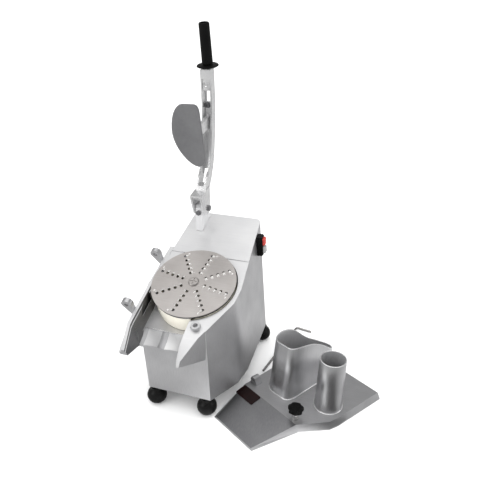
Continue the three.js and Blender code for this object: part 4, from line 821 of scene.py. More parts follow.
@dataclass
class HousingWork:
    """The cast housing with its lugs, lock boss and feet.

    In the machine's own frame, lip_edge and apron_foot are places in y and z, channel, apron_fill and
    horn are reaches in x, and the wing's tables give x, or height, by y. Each "up" is the least part
    of a face's normal that points up, or for the wing's inside to the right.
    """

    edge: float = 1.6 * MM
    cast_joined: float = 0.05 * MM
    edge_joined: float = 0.1 * MM
    lug_edge: float = 1.4 * MM
    boss_edge: float = 0.5 * MM
    corners: tuple[str, ...] = ("front_left", "front_right", "rear_left", "rear_right")
    foot_height: float = 43.0
    foot_radius: float = 24.0
    foot_faces: int = 56
    foot_shape: Curve = (
        (0.0, 0.0), (0.36, 0.0), (0.46, 0.012), (0.6, 0.05), (0.74, 0.115), (0.86, 0.2), (0.95, 0.31),
        (0.985, 0.42), (0.97, 0.53), (0.92, 0.63), (0.84, 0.72), (0.72, 0.79), (0.6, 0.845), (0.56, 0.88))
    neck_radius: float = 13.0
    neck_start: float = 0.9
    bore: float = 105.3
    bore_faces: int = 96
    bowl_wall: float = 4.5
    bowl_floor: float = 5.0
    seat_depth: float = 33.0
    seat_radius: float = 46.0
    seat_taper: float = 4.0
    bearing_room: float = 41.5
    lap: float = 2.0
    over_deck: float = 12.0
    trough_depth: float = 60.0
    tray_fill: Pair = (-114.0, -46.0)
    tray_cut: Pair = (-121.0, -40.0)
    tray_rise: float = 3.0
    channel: Pair = (-103.0, 20.0)
    lip_edge: Pair = (44.4, 181.1)
    lip_radius: float = 1.3
    lip_faces: int = 12
    lip_inset: float = 1.0
    apron_foot: Pair = (8.9, 157.1)
    apron_left: float = -93.5
    apron_up: float = 0.5
    apron_below: float = 2.0
    apron_fill: Pair = (-108.0, 24.0)
    fill_run: Pair = (3.0, 14.0)
    fill_foot: float = 150.0
    flutes: Point = (-99.0, -46.0, 7.0)
    flute_depth: Point = (1.5, 6.0, 1.5)
    flute_steps: int = 12
    flute_shade_reach: float = 9.0
    horn: Pair = (15.0, 80.0)
    horn_up: float = 0.3
    deck_up: float = 0.75
    deck_depth: float = -28.0
    wing_run: Pair = (-64.0, 112.0)
    wing_bends: Pair = (-55.0, -4.0)
    wing_outer: Curve = ((-64.0, -106.2), (-55.0, -108.0), (0.0, -119.0), (120.0, -118.0))
    wing_top: Curve = ((-64.0, 180.4), (-4.0, 217.9), (125.3, 268.3))
    wing_over: float = 15.0
    wing_under: float = 140.0
    wing_strip: float = 8.0
    wing_taper: Pair = (-0.6, 0.5)
    wing_ledge: float = 8.0
    wing_ledge_width: float = 1.6
    wing_ledge_fall: float = 0.4
    wing_foot_x: float = -95.0
    wing_room_x: float = -85.0
    wing_step: float = 0.1
    inside_up: float = 0.5
    inside_reach: float = 1.0

    def floor_height(self, y: float) -> float:
        """Height of the discharge channel's floor at a distance from the front."""
        return self.lip_edge[1] + (y - self.lip_edge[0]) * math.tan(LAYOUT.deck_tilt)

    def wing_cut(self) -> Piece:
        """Form the space inside the wing: a sloping wall with one narrow ledge.

        Returns:
            The cutter for the wing's inside.
        """
        edge_y, edge_z = self.lip_edge
        foot_y, foot_z = self.apron_foot
        front, back = self.wing_run
        step_y = foot_y - self.wing_step
        floor = [(front, self.wing_under), (step_y, self.wing_under), (foot_y, foot_z), (edge_y, edge_z),
                 (back, self.floor_height(back))]
        left = self.channel[0]
        feet = [(front, self.wing_foot_x), (foot_y, self.apron_left), (edge_y, left), (back, left)]
        sections = []
        for y in (front, *self.wing_bends, step_y, foot_y, edge_y, back):
            top = between(y, self.wing_top)
            inner = between(y, self.wing_outer) + self.wing_strip
            upper, lower = (inner + taper for taper in self.wing_taper)
            ledge = top - self.wing_ledge
            bottom = between(y, floor)
            sections.append([
                (upper, y, top + self.wing_over), (lower, y, ledge),
                (lower + self.wing_ledge_width, y, ledge - self.wing_ledge_fall),
                (between(y, feet), y, bottom), (self.wing_room_x, y, bottom),
                (self.wing_room_x, y, top + self.wing_over)])
        return loft("wing_cut", sections, LAYOUT.machine())

    def apron_cut(self) -> Piece:
        """Form the space before the channel: its lower face has two shallow flutes.

        Returns:
            The cutter for the space before the apron.
        """
        edge_y, edge_z = self.lip_edge
        foot_y, foot_z = self.apron_foot
        right = self.channel[1]
        down = Vector((0.0, foot_y - edge_y, foot_z - edge_z)).normalized()
        inward = Vector((0.0, -down.z, down.y))
        back = Vector((0.0, edge_z - foot_z, foot_y - edge_y))
        middle = ((edge_y + foot_y) / 2, (edge_z + foot_z) / 2)
        sections = []
        for (y, z), depth in zip((self.lip_edge, middle, self.apron_foot), self.flute_depth):
            curve = []
            for start, end in zip(self.flutes, self.flutes[1:]):
                for i in range(self.flute_steps):
                    share = i / self.flute_steps
                    sink = depth * 4 * share * (1 - share)
                    curve.append(Vector((start + (end - start) * share, y, z)) + inward * sink)
            curve += [Vector((self.flutes[-1], y, z)), Vector((right, y, z))]
            curve += [Vector((x, y, z)) - back for x in (right, self.flutes[0])]
            sections.append([tuple(point) for point in curve])
        return loft("apron_cut", sections, LAYOUT.machine())

    def cast(self) -> Mesh:
        """Work the bowl's trough, the channel, the apron and the wing into the casting.

        Returns:
            The worked mesh, with its edges still sharp.
        """
        deck = LAYOUT.deck()
        middle = LAYOUT.deck_origin[0] / MM
        left, right = (side - middle for side in self.channel)
        seat, trough = -self.seat_depth, -self.trough_depth
        under = trough - self.bowl_floor
        outer = self.bore + self.bowl_wall
        room, lapped = self.bearing_room, seat - self.lap
        start = self.apron_foot[0] + self.fill_run[0]
        end = self.lip_edge[0] + self.fill_run[1]
        filler = [(start, self.fill_foot), (end, self.fill_foot), (end, self.floor_height(end)),
                  (start, self.floor_height(start))]
        bowl_fill = [(room, under), (outer, under), (outer, lapped), (room, lapped), (room, under)]
        bowl_cut = [(0, seat), (self.seat_radius - self.seat_taper, seat), (self.seat_radius, trough),
                    (self.bore, trough), (self.bore, self.over_deck), (0, self.over_deck)]
        tools = [
            ("UNION", lathe("bowl_fill", bowl_fill, deck, self.bore_faces)),
            ("UNION", block("tray_fill", (left - self.bowl_wall, self.tray_fill[0], under),
                            (right + self.bowl_wall, self.tray_fill[1], lapped), deck)),
            ("UNION", loft("apron_fill", [[(x, y, z) for y, z in filler] for x in self.apron_fill],
                           LAYOUT.machine())),
            ("DIFFERENCE", lathe("bowl_cut", bowl_cut, deck, self.bore_faces)),
            ("DIFFERENCE", block("tray_cut", (left, self.tray_cut[0], trough),
                                 (right, self.tray_cut[1], seat + self.tray_rise), deck)),
            ("DIFFERENCE", self.apron_cut()),
            ("DIFFERENCE", self.wing_cut()),
        ]
        return carved(added("casting", merged("housing", self.cast_joined)), tools)

    def on_apron(self, face: Face) -> bool:
        """Whether a face of the casting is on the fluted apron before the channel.

        Args:
            face: A face of the casting.

        Returns:
            Whether it is there and looks up.
        """
        place = spot(face)
        low, high = self.apron_foot[1] - self.apron_below, self.lip_edge[1]
        before = place.y < self.lip_edge[0] and self.channel[0] < place.x < self.channel[1]
        return before and low < place.z < high and face.normal.z > self.apron_up

    def flute_end_shade(self, face: Face) -> bool:
        """Whether a face of the apron is near the end of a flute, where it gets a painted shade."""
        x = spot(face).x
        return self.on_apron(face) and min(abs(x - end) for end in self.flutes) < self.flute_shade_reach

    def lit_upward(self, face: Face) -> bool:
        """Whether a face of the casting gets painted light as a face that looks up: deck, wing's top,
        horn and apron.

        Args:
            face: A face of the casting.

        Returns:
            Whether it is on one of them.
        """
        depth = (LAYOUT.deck().inverted() @ face.center).z / MM
        place = spot(face)
        deck = face.normal.z > self.deck_up and depth > self.deck_depth
        horn = self.horn[0] < place.x < self.horn[1] and place.y < self.lip_edge[0]
        return deck or (horn and face.normal.z > self.horn_up) or self.on_apron(face)

    def inside(self, face: Face) -> bool:
        """Whether a face of the casting is on the wing's inner wall, which gets a painted shade."""
        return face.normal.x > self.inside_up and spot(face).x < self.wing_foot_x + self.inside_reach

    def shell(self) -> None:
        """Soften the casting's edges, paint light on its upward faces and shade on the wing's inner wall
        and the flute ends, and lay a raised bead with a painted highlight along the channel floor's edge.
        """
        casting = finished(rounded("housing_finished", self.cast(), self.edge, merge=self.edge_joined),
                           WALL_ALUMINIUM, Body.MACHINE, ["housing"])
        # Painted light on faces that look up; painted shade on the wing's inner wall and near the flute
        # ends.
        for finish, chosen in ((PAINTED_LIGHT_ALUMINIUM, self.lit_upward), (DEEP_SHADE_ALUMINIUM, self.inside),
                               (PAINTED_SHADE_ALUMINIUM, self.flute_end_shade)):
            refinished(casting, finish, chosen)
        edge_y, edge_z = self.lip_edge
        left, right = self.channel
        outline = turned_outline(self.lip_radius, self.lip_faces)
        ends = [[(x, edge_y + y, edge_z + z) for y, z in outline]
                for x in (left + self.lip_inset, right - self.lip_inset)]
        # A real raised bead along the floor's edge; its bright finish paints the highlight line on that
        # edge.
        finished(loft("floor_edge", ends, LAYOUT.machine()), POLISH_AND_HIGHLIGHT_ALUMINIUM, Body.MACHINE)
        for node in ("hinge_lug_front", "hinge_lug_rear"):
            dressed(node, self.lug_edge, HOPPER_ALUMINIUM, Body.MACHINE, 3)
        dressed("lock_boss", self.boss_edge, HOPPER_ALUMINIUM, Body.MACHINE)

    def feet(self) -> None:
        """Turn the four rubber feet with a rounded tread and a waist."""
        tall, neck = self.foot_height, self.neck_radius
        profile = [(self.foot_radius * radius, tall * height) for radius, height in self.foot_shape]
        profile += [(neck, tall * self.neck_start), (neck, tall), (0.0, tall)]
        for corner in self.corners:
            node = f"foot_{corner}"
            low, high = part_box(node)
            centre = Matrix.Translation(((low[0] + high[0]) / 2, (low[1] + high[1]) / 2, low[2]))
            foot = lathe(f"{node}_tread", profile, centre, self.foot_faces)
            finished(foot, RUBBER, Body.MACHINE, [node])

    def build(self) -> None:
        """Build the housing's pieces."""
        self.shell()
        self.feet()


@dataclass
class GratingDisc:
    """The grating plate with its rows of teeth, its carrier, hub screw and ejector.

    A tooth has half its width, its reach and its rise. Heights are from the plate's top.
    """

    radius: float = 102.5 * MM
    sheet: float = 1.2 * MM
    plate_faces: int = 160
    rows: int = 8
    teeth: int = 5
    row_angle: float = math.radians(33.7)
    first_tooth: float = 30.5 * MM
    pitch: float = 14.7 * MM
    tooth: Point = (4.6 * MM, 7.2 * MM, 4.0 * MM)
    tooth_sheet: float = 0.7 * MM
    tooth_joined: float = 0.01 * MM
    arch_steps: int = 12
    reach_steps: int = 5
    hole: Pair = (3.6 * MM, 3.9 * MM)
    hole_depth: float = 12.0 * MM
    hole_faces: int = 16
    hole_ahead: float = 0.4 * MM
    proud: float = 0.2 * MM
    rivet_circle: float = 94.1 * MM
    rivet_radius: float = 2.8 * MM
    rivet_rise: float = 0.7 * MM
    rivet_crown: float = 0.7
    rivet_faces: int = 20
    rivet_angle: float = math.radians(4.2)
    carrier_edge: float = 0.5 * MM
    screw_edge: float = 0.4 * MM
    drum: float = 99.0
    drum_foot: float = -58.5
    drum_top: float = -9.0
    drum_faces: int = 96
    cup: float = 51.0
    cup_top: float = -28.0
    wall: float = 3.0
    boss: Pair = (9.8, 17.0)
    vanes: int = 3
    vane_half: float = 2.0
    vane_sunk: float = 1.0
    vane_ends: Pair = (6.0, 4.0)
    vane_start: float = math.radians(-253)
    vane_spiral: float = math.radians(80)
    vane_rim: float = math.radians(98)
    vane_steps: int = 48

    def lip(self) -> Piece:
        """Form one raised lip: a quarter of an ellipsoid of thin sheet, open to the cut.

        Returns:
            A scratch piece for the tree to repeat.
        """
        shape = bmesh.new()
        wide, reach, rise = self.tooth
        layers = []
        for thinner in (0.0, self.tooth_sheet):
            rows = []
            for j in range(self.reach_steps + 1):
                turn = j / self.reach_steps * math.pi / 2
                ring = []
                for i in range(self.arch_steps + 1):
                    arch = i / self.arch_steps * math.pi
                    ring.append(shape.verts.new((
                        -(wide - thinner) * math.cos(arch) * math.cos(turn),
                        -reach / 4 - (reach - thinner) * math.sin(turn),
                        -self.sheet + (rise - thinner) * math.sin(arch) * math.cos(turn))))
                rows.append(ring)
            layers.append(rows)
        for rows in layers:
            for low, high in zip(rows, rows[1:]):
                for i in range(self.arch_steps):
                    shape.faces.new((low[i], low[i + 1], high[i + 1], high[i]))
        outer, inner = (rows[0] for rows in layers)
        for i in range(self.arch_steps):
            shape.faces.new((outer[i], outer[i + 1], inner[i + 1], inner[i]))
        bmesh.ops.remove_doubles(shape, verts=shape.verts, dist=self.tooth_joined)
        bmesh.ops.holes_fill(shape, edges=shape.edges)
        bmesh.ops.recalc_face_normals(shape, faces=shape.faces)
        return from_bmesh("lip", shape)

    def slot_cut(self) -> Piece:
        """Form the rounded hole below a lip.

        Returns:
            A scratch piece for the tree to repeat.
        """
        wide, long = self.hole
        shape = bmesh.new()
        bmesh.ops.create_cone(shape, cap_ends=True, segments=self.hole_faces, radius1=wide,
                              radius2=wide, depth=self.hole_depth)
        bmesh.ops.scale(shape, vec=(1.0, long / wide, 1.0), verts=shape.verts)
        bmesh.ops.translate(shape, vec=(0.0, self.hole_ahead, 0.0), verts=shape.verts)
        return from_bmesh("slot_cut", shape)

    def plate(self) -> None:
        """Repeat the teeth and rivets over the plate and cut its holes."""
        nodes = NodesPiece("grating_rows", {
            "Radius": self.radius, "Sheet": self.sheet, "First Tooth": self.first_tooth,
            "Pitch": self.pitch, "Row Angle": self.row_angle, "Rivet Circle": self.rivet_circle,
            "Rivet Radius": self.rivet_radius, "Rivet Angle": self.rivet_angle,
            "Rows": self.rows, "Teeth": self.teeth, "Lip": self.lip(), "Cut": self.slot_cut()})
        kit, sizes = nodes.kit, nodes.sizes
        row = kit.node("GeometryNodeMeshLine", {
            "Count": sizes["Teeth"], "Start Location": nodes.vector(sizes["First Tooth"], 0.0, 0.0),
            "Offset": nodes.vector(sizes["Pitch"], 0.0, 0.0)}, mode="OFFSET").outputs["Mesh"]
        hub = kit.node("GeometryNodeMeshLine", {"Count": sizes["Rows"], "Offset": (0.0, 0.0, 0.0)},
                       mode="OFFSET").outputs["Mesh"]
        index = kit.node("GeometryNodeInputIndex").outputs[0]
        step = kit.math("DIVIDE", 2 * math.pi, sizes["Rows"])
        row_turn = kit.math("ADD", kit.math("MULTIPLY", index, step), sizes["Row Angle"])
        between_rows = kit.math("MULTIPLY", kit.math("ADD", index, 0.5), step)
        rivet_turn = kit.math("ADD", between_rows, sizes["Rivet Angle"])
        spread = {}
        for name in ("Lip", "Cut"):
            shape = kit.node("GeometryNodeObjectInfo", {"Object": sizes[name]}).outputs["Geometry"]
            spread[name] = nodes.instances(hub, nodes.instances(row, shape), nodes.turned(row_turn))
        disc = kit.node("GeometryNodeMeshCylinder", {
            "Vertices": self.plate_faces, "Radius": sizes["Radius"], "Depth": sizes["Sheet"]})
        half_down = nodes.vector(0.0, 0.0, kit.math("MULTIPLY", sizes["Sheet"], -0.5))
        sunk = kit.node("GeometryNodeTransform", {"Geometry": disc.outputs["Mesh"],
                                                  "Translation": half_down})
        cut = kit.node("GeometryNodeMeshBoolean", {
            "Mesh 1": sunk.outputs["Geometry"], "Mesh 2": spread["Cut"]}, operation="DIFFERENCE")
        head = kit.node("GeometryNodeMeshCone", {
            "Vertices": self.rivet_faces, "Depth": self.rivet_rise,
            "Radius Bottom": sizes["Rivet Radius"],
            "Radius Top": kit.math("MULTIPLY", sizes["Rivet Radius"], self.rivet_crown)})
        outward = kit.node("GeometryNodeTransform", {
            "Geometry": head.outputs["Mesh"],
            "Translation": nodes.vector(sizes["Rivet Circle"], 0.0, 0.0)})
        rivets = nodes.instances(hub, outward.outputs["Geometry"], nodes.turned(rivet_turn))
        whole = kit.node("GeometryNodeJoinGeometry")
        for part in (cut.outputs["Mesh"], spread["Lip"], rivets):
            kit.feed(whole.inputs["Geometry"], part)
        plate = nodes.result("grating_teeth", whole.outputs["Geometry"], DISC_STEEL, LAYOUT.deck())
        finished(plate, DISC_STEEL, Body.DISC, ["grating_plate"])
        # Painted highlight: faces that stand proud of the plate, the lips and rivets, get a lighter
        # steel.
        top = LAYOUT.deck().inverted()
        refinished(plate, LIP_SHEEN_STEEL, lambda face: (top @ face.center).z > self.proud)

    def vane(self, start: float) -> Piece:
        """Form one vane: a spiral from the cup that then follows the rim.

        Args:
            start: Angle at which the spiral begins.

        Returns:
            The vane, in the deck's frame.
        """
        in_cup, past_cup = self.vane_ends
        half, top = self.vane_half, self.drum_top
        sections = []
        for i in range(self.vane_steps + 1):
            turn = (self.vane_spiral + self.vane_rim) * i / self.vane_steps
            share = min(1.0, turn / self.vane_spiral)
            radius = self.cup - in_cup + (self.drum - self.cup + past_cup) * share
            low = self.drum_foot + self.vane_sunk if radius > self.cup else self.cup_top - self.vane_sunk
            ray = Vector((math.cos(start + turn), math.sin(start + turn), 0.0))
            sections.append([tuple(ray * (radius + side) + Vector((0.0, 0.0, height)))
                             for side, height in ((-half, low), (half, low), (half, top), (-half, top))])
        return loft("vane", sections, LAYOUT.deck())

    def ejector(self) -> None:
        """Build the ejector: a floor round a raised cup, and three curved vanes."""
        bore, boss = self.boss
        below, inside, foot = self.cup_top - self.wall, self.cup - self.wall, self.drum_foot
        profile = [(bore, below), (inside, below), (inside, foot), (self.drum, foot),
                   (self.drum, foot + self.wall), (self.cup, foot + self.wall),
                   (self.cup, self.cup_top), (boss, self.cup_top), (boss, self.drum_top),
                   (bore, self.drum_top), (bore, below)]
        parts = [lathe("ejector_floor", profile, LAYOUT.deck(), self.drum_faces)]
        parts += [self.vane(self.vane_start + 2 * math.pi * i / self.vanes) for i in range(self.vanes)]
        finished(united("ejector_drum", parts), CREAM_PLASTIC, Body.DISC, ["ejector"])

    def build(self) -> None:
        """Build the disc and what turns with it."""
        self.plate()
        self.ejector()
        # Painted shade: the carrier under the disc gets the dark aluminium, which stands for the gap's
        # shade.
        dressed("disc_carrier", self.carrier_edge, DEEP_SHADE_ALUMINIUM, Body.DISC)
        dressed("hub_screw", self.screw_edge, DISC_STEEL, Body.DISC)


@dataclass
class PressingLever:
    """The lever with its bracket, pin, handle and presser.

    The web's table gives the floor of the arm's channel by the place along the arm. Each section of
    the bar has its depth, its middle and half its height, and each screw its place and its radius.
    """

    web: Curve = ((186.0, 60.6), (225.0, 64.0), (263.0, 65.6), (291.0, 64.8), (336.0, 61.6))
    web_gap: float = 0.3
    clamp_half: float = 9.4
    clamp_at: Point = (186.0, 225.0, 263.0)
    clamp_thickness: float = 5.0
    clamp_edge: float = 0.9 * MM
    bar_half: float = 5.0
    bar: tuple[Point, ...] = ((-51.0, 201.0, 13.0), (0.0, 206.0, 13.5), (40.0, 212.0, 14.5),
                              (60.0, 215.0, 19.0))
    bolts: Pair = (201.0, 254.0)
    bolt_x: float = -2.5
    washer: Curve = ((0, -0.5), (7.4, -0.5), (7.4, 0.9), (6.9, 1.4), (0, 1.4))
    washer_faces: int = 32
    bolt_head: Curve = ((0, 1.2), (5.4, 1.2), (5.6, 1.6), (5.6, 5.2), (5.0, 5.8), (2.9, 5.8), (2.7, 3.4),
                        (0, 3.4))
    bolt_faces: int = 24
    socket_at: Point = (291.0, 313.0, 336.0)
    socket_face: float = 18.5
    socket_edge: float = 0.8 * MM
    screws: tuple[Point, ...] = ((-2.0, 305.0, 6.4), (3.6, 322.0, 3.6))
    screw: Curve = ((0, -1.0), (1, -1.0), (1, 1.0), (0.9, 1.5), (0.38, 1.5), (0.34, -0.4), (0, -0.4))
    screw_faces: int = 32
    presser_at: Point = (0.0, -60.0, 201.0)
    presser_lean: float = math.radians(-2.2)
    presser_shift: float = 6.0 * MM
    presser_edge: float = 1.2 * MM
    arm_edge: float = 1.0 * MM
    arm_joined: float = 0.05 * MM
    pin_edge: float = 0.5 * MM
    handle_edge: float = 0.6 * MM

    def on_web(self, face: float, places: Iterable[float]) -> list[list[Point]]:
        """Outline the sections of a body that fills the arm's channel.

        Args:
            face: How far its face stands from the channel's floor.
            places: Where along the arm the sections are.

        Returns:
            The sections, in the lever's frame.
        """
        half, gap = self.clamp_half, self.web_gap
        corners = ((-half, gap), (half, gap), (half, face), (-half, face))
        return [[(x, between(z, self.web) - y, z) for x, y in corners] for z in places]

    def seat(self, x: float, z: float, face: float) -> Matrix:
        """Frame of a screw that stands out from a body in the arm's channel.

        Args:
            x: Its place across the arm.
            z: Its place along the arm.
            face: How far the body's face stands from the channel's floor.

        Returns:
            The frame, whose Z points out of the face.
        """
        at = Matrix.Translation(Vector((x, between(z, self.web) - face, z)) * MM)
        return LAYOUT.lever() @ at @ Matrix.Rotation(math.radians(90), 4, "X")

    def clamp(self) -> None:
        """Build the presser's bracket: a plate in the arm's channel, a bar and two bolts."""
        lever = LAYOUT.lever()
        face, half = self.clamp_thickness, self.bar_half
        plate = self.on_web(face, self.clamp_at)
        bar = [[(x, y, middle + tall)
                for x, tall in ((-half, -rise), (half, -rise), (half, rise), (-half, rise))]
               for y, middle, rise in self.bar]
        form = united("clamp", [loft("clamp_plate", plate, lever), loft("clamp_bar", bar, lever)])
        finished(rounded("presser_clamp", taken(form), self.clamp_edge, 3), POLISH_AND_HIGHLIGHT_ALUMINIUM,
                 Body.LEVER, ["presser_bracket"])
        pieces = []
        for z in self.bolts:
            seat = self.seat(self.bolt_x, z, face)
            pieces.append(lathe("washer", self.washer, seat, self.washer_faces))
            pieces.append(lathe("bolt_head", self.bolt_head, seat, self.bolt_faces))
        finished(united("clamp_bolts", pieces), DULL_STEEL, Body.LEVER)

    def socket(self) -> None:
        """Fill the top of the arm's channel with the handle's socket and its locking screws."""
        face = self.socket_face
        body = loft("socket_body", self.on_web(face, self.socket_at), LAYOUT.lever())
        pieces = [rounded("socket_edges", taken(body), self.socket_edge)]
        for x, z, wide in self.screws:
            profile = [(wide * share, height) for share, height in self.screw]
            pieces.append(lathe("socket_boss", profile, self.seat(x, z, face), self.screw_faces))
        finished(united("handle_socket", pieces), POLISH_AND_HIGHLIGHT_ALUMINIUM, Body.LEVER)

    def presser(self) -> None:
        """Hang the presser plate, whose straight side leans a little towards the arm's foot."""
        plate = rounded("presser_plate_finished", merged("presser_plate"), self.presser_edge, 3)
        at = LAYOUT.lever() @ Matrix.Translation(Vector(self.presser_at) * MM)
        turn = Matrix.Rotation(self.presser_lean, 4, "Y")
        shift = Matrix.Translation((self.presser_shift, 0.0, 0.0))
        plate.data.transform(at @ shift @ turn @ at.inverted())
        # Painted shade: the presser plate gets a darker aluminium for its downward-facing shade.
        finished(plate, PRESSER_SHADE_ALUMINIUM, Body.LEVER, ["presser_plate"])

    def build(self) -> None:
        """Build the lever's pieces."""
        self.clamp()
        self.socket()
        self.presser()
        dressed("lever_arm", self.arm_edge, POLISH_AND_HIGHLIGHT_ALUMINIUM, Body.LEVER,
                merge=self.arm_joined)
        # Painted light: the bracket gets a lighter aluminium to brighten where the fork shades it.
        dressed("lever_bracket", self.arm_edge, BRACKET_LIT_ALUMINIUM, Body.MACHINE)
        for node in ("hinge_pin", "stop_bolt"):
            dressed(node, self.pin_edge, DULL_STEEL, Body.MACHINE)
        for node in ("guard_disc", "grip"):
            dressed(node, self.handle_edge, BLACK_PLASTIC, Body.LEVER)


@dataclass
class SwitchUnit:
    """The switch box with its stop and start buttons."""

    box_edge: float = 0.7 * MM
    button_edge: float = 0.9 * MM

    def build(self) -> None:
        """Build the box and the buttons."""
        dressed("switch_box", self.box_edge, BLACK_PLASTIC, Body.MACHINE)
        dressed("stop_button", self.button_edge, RED_PLASTIC, Body.STOP, 3)
        dressed("start_button", self.button_edge, GREY_PLASTIC, Body.START, 3)


@dataclass
class HopperLid:
    """The lid plate with its two hoppers, knuckles, bare badge plate and lock knob.

    The rim's tables give the large hopper's height along the lid, on its near and its far side. The
    wall's face numbers count round one strip of a hopper's wall, from the bead at its foot.
    """

    plate_edge: float = 0.8 * MM
    knuckle_edge: float = 1.0 * MM
    badge_edge: float = 0.25 * MM
    knob_edge: float = 0.8 * MM
    stem_edge: float = 0.4 * MM
    foot: float = 19.4
    lean: Pair = (0.03, 0.035)
    presser: Pair = (77.0, 156.0)
    kidney_at: Pair = (18.2, 120.0)
    kidney_steps: int = 14
    kidney_curves: tuple[Curve, ...] = (
        ((0.99, 0.7), (0.993, 0.27), (0.997, -0.17), (1.0, -0.6)),
        ((1.0, -0.6), (1.0, -0.84), (0.82, -0.99), (0.5, -1.0)),
        ((0.5, -1.0), (-0.1, -1.0), (-1.0, -0.42), (-1.0, 0.08)),
        ((-1.0, 0.08), (-1.0, 0.52), (-0.6, 1.0), (-0.05, 1.0)),
        ((-0.05, 1.0), (0.19, 0.997), (0.42, 0.993), (0.66, 0.99)),
        ((0.66, 0.99), (0.88, 0.98), (0.99, 0.9), (0.99, 0.7)))
    kidney_draft: float = 4.0
    kidney_walls: Pair = (1.0, 3.8)
    rim_top: float = 164.0
    rim_near: Curve = (
        (40.0, 164.0), (55.0, 163.0), (70.0, 160.0), (85.0, 157.0), (100.0, 153.0), (110.0, 150.0),
        (120.0, 145.5), (130.0, 140.0), (140.0, 134.0), (150.0, 127.5), (160.0, 120.0), (170.0, 112.0),
        (180.0, 103.5), (190.0, 95.5), (205.0, 90.0))
    rim_far: Curve = (
        (40.0, 163.0), (55.0, 161.0), (70.0, 158.5), (80.0, 156.5), (90.0, 153.8), (100.0, 150.5),
        (110.0, 147.0), (120.0, 143.0), (130.0, 137.0), (140.0, 129.0), (150.0, 119.0), (160.0, 108.0),
        (170.0, 100.0), (180.0, 95.5), (190.0, 92.0), (205.0, 90.0))
    flare: float = 3.0
    bead: float = 2.6
    tube_at: Pair = (91.0, 104.0)
    tube_radii: Pair = (27.4, 30.2)
    tube_top: float = 152.0
    tube_flare: float = 1.8
    tube_faces: int = 72
    tube_lean: float = 0.5
    bead_shape: Curve = ((1.0, 0.0), (0.55, 0.5), (0.2, 1.5), (0.0, 3.2))
    rim_round: Pair = (0.35, 1.2)
    wall_faces: int = 12
    inner_faces: tuple[int, ...] = (9, 10)
    highlight_faces: tuple[int, ...] = (0, 1, 5, 6, 7, 8)
    flap_slope: Pair = (0.7, 0.995)
    flap_area: float = 1e-3

    def kidney(self) -> list[Pair]:
        """Outline of the presser, which the large hopper guides, in the lid's frame.

        Returns:
            Its points, anticlockwise.
        """
        half_x, half_y = (side / 2 for side in self.presser)
        points = []
        for curve in self.kidney_curves:
            for i in range(self.kidney_steps):
                t = i / self.kidney_steps
                weights = ((1 - t) ** 3, 3 * t * (1 - t) ** 2, 3 * t * t * (1 - t), t ** 3)
                x, y = (sum(w * p[k] for w, p in zip(weights, curve)) for k in (0, 1))
                points.append((half_x * (x - 1) + self.kidney_at[0], self.kidney_at[1] - half_y * y))
        return points

    def profile(self, inner: float, outer: float, rim: float) -> list[Pair]:
        """Section of a hopper's wall: bead, outer face, rounded rim and inner face.

        Args:
            inner: Distance of the inner face from the outline.
            outer: Distance of the outer face.
            rim: Height of the rim.

        Returns:
            Distances from the outline, with their heights.
        """
        ease, drop = self.rim_round
        middle = (self.foot + rim) / 2
        bead = [(outer + self.bead * share, self.foot + rise) for share, rise in self.bead_shape]
        return bead + [(outer, middle), (outer, rim - drop), (outer - ease, rim - ease),
                       ((inner + outer) / 2, rim), (inner + ease, rim - ease), (inner, rim - drop),
                       (inner, middle), (inner, self.foot)]

    def wall(self, name: str, outline: Sequence[Pair], walls: Pair, flare: float,
             top: Callable[[float, float], float], draft: float = 0.0,
             upright: float = 1.0) -> Piece:
        """Skin a tube that stands on the lid, with a bead at its foot and a rounded rim.

        Args:
            name: The object's name.
            outline: Its outline, anticlockwise, in the lid's frame.
            walls: Distances of the inner and the outer face from the outline.
            flare: How far the foot spreads.
            top: Height of the rim at a place on the lid.
            draft: How much further the left side spreads at the foot.
            upright: Share of the lid's usual lean that it has.

        Returns:
            The closed tube.
        """
        left = min(x for x, _ in outline)
        span = max(x for x, _ in outline) - left
        sections = []
        for index, (x, y) in enumerate(outline):
            normal = offset(outline, index)
            section = []
            for side, height in self.profile(*walls, top(x, y)):
                rise = height - self.foot
                spread = 1 - rise / (self.rim_top - self.foot)
                out = side + flare * spread
                shift = -draft * spread * (1 - (x - left) / span)
                section.append((x + normal[0] * out + shift + self.lean[0] * upright * rise,
                                y + normal[1] * out + self.lean[1] * upright * rise, height))
            sections.append(section)
        return loft(name, sections, LAYOUT.lid(), ring=True)

    def rim_height(self, x: float, y: float) -> float:
        """Height of the large hopper's rim, which falls later on its near side.

        Args:
            x: Place across the lid.
            y: Place along the lid.

        Returns:
            The rim's height in the lid's frame.
        """
        share = smoothstep((x - self.kidney_at[0] + self.presser[0]) / self.presser[0])
        return between(y, self.rim_far) * (1 - share) + between(y, self.rim_near) * share

    def inner(self, face: Face) -> bool:
        """Whether a hopper's face is inside it, where it gets a painted shade: each strip of the wall has
        its faces in order.
        """
        return face.index % self.wall_faces in self.inner_faces

    def highlight_edging(self, face: Face) -> bool:
        """Whether a hopper's face is on the bead at its foot or on its rim, which get a painted
        highlight.
        """
        return face.index % self.wall_faces in self.highlight_faces

    def hoppers(self) -> None:
        """Build the two hoppers."""
        large = self.wall("large_hopper_wall", self.kidney(), self.kidney_walls, self.flare,
                          self.rim_height, self.kidney_draft)
        unit = 1.0
        small = self.wall("round_hopper_wall", turned_outline(unit, self.tube_faces, self.tube_at),
                          tuple(radius - unit for radius in self.tube_radii), self.tube_flare,
                          lambda x, y: self.tube_top, upright=self.tube_lean)
        for hopper, node in ((large, "large_hopper"), (small, "round_hopper")):
            finished(hopper, HOPPER_ALUMINIUM, Body.LID, [node])
            # Painted shade on the hoppers' insides; painted highlight on their beads and rims.
            refinished(hopper, PAINTED_SHADE_ALUMINIUM, self.inner)
            refinished(hopper, POLISH_AND_HIGHLIGHT_ALUMINIUM, self.highlight_edging)

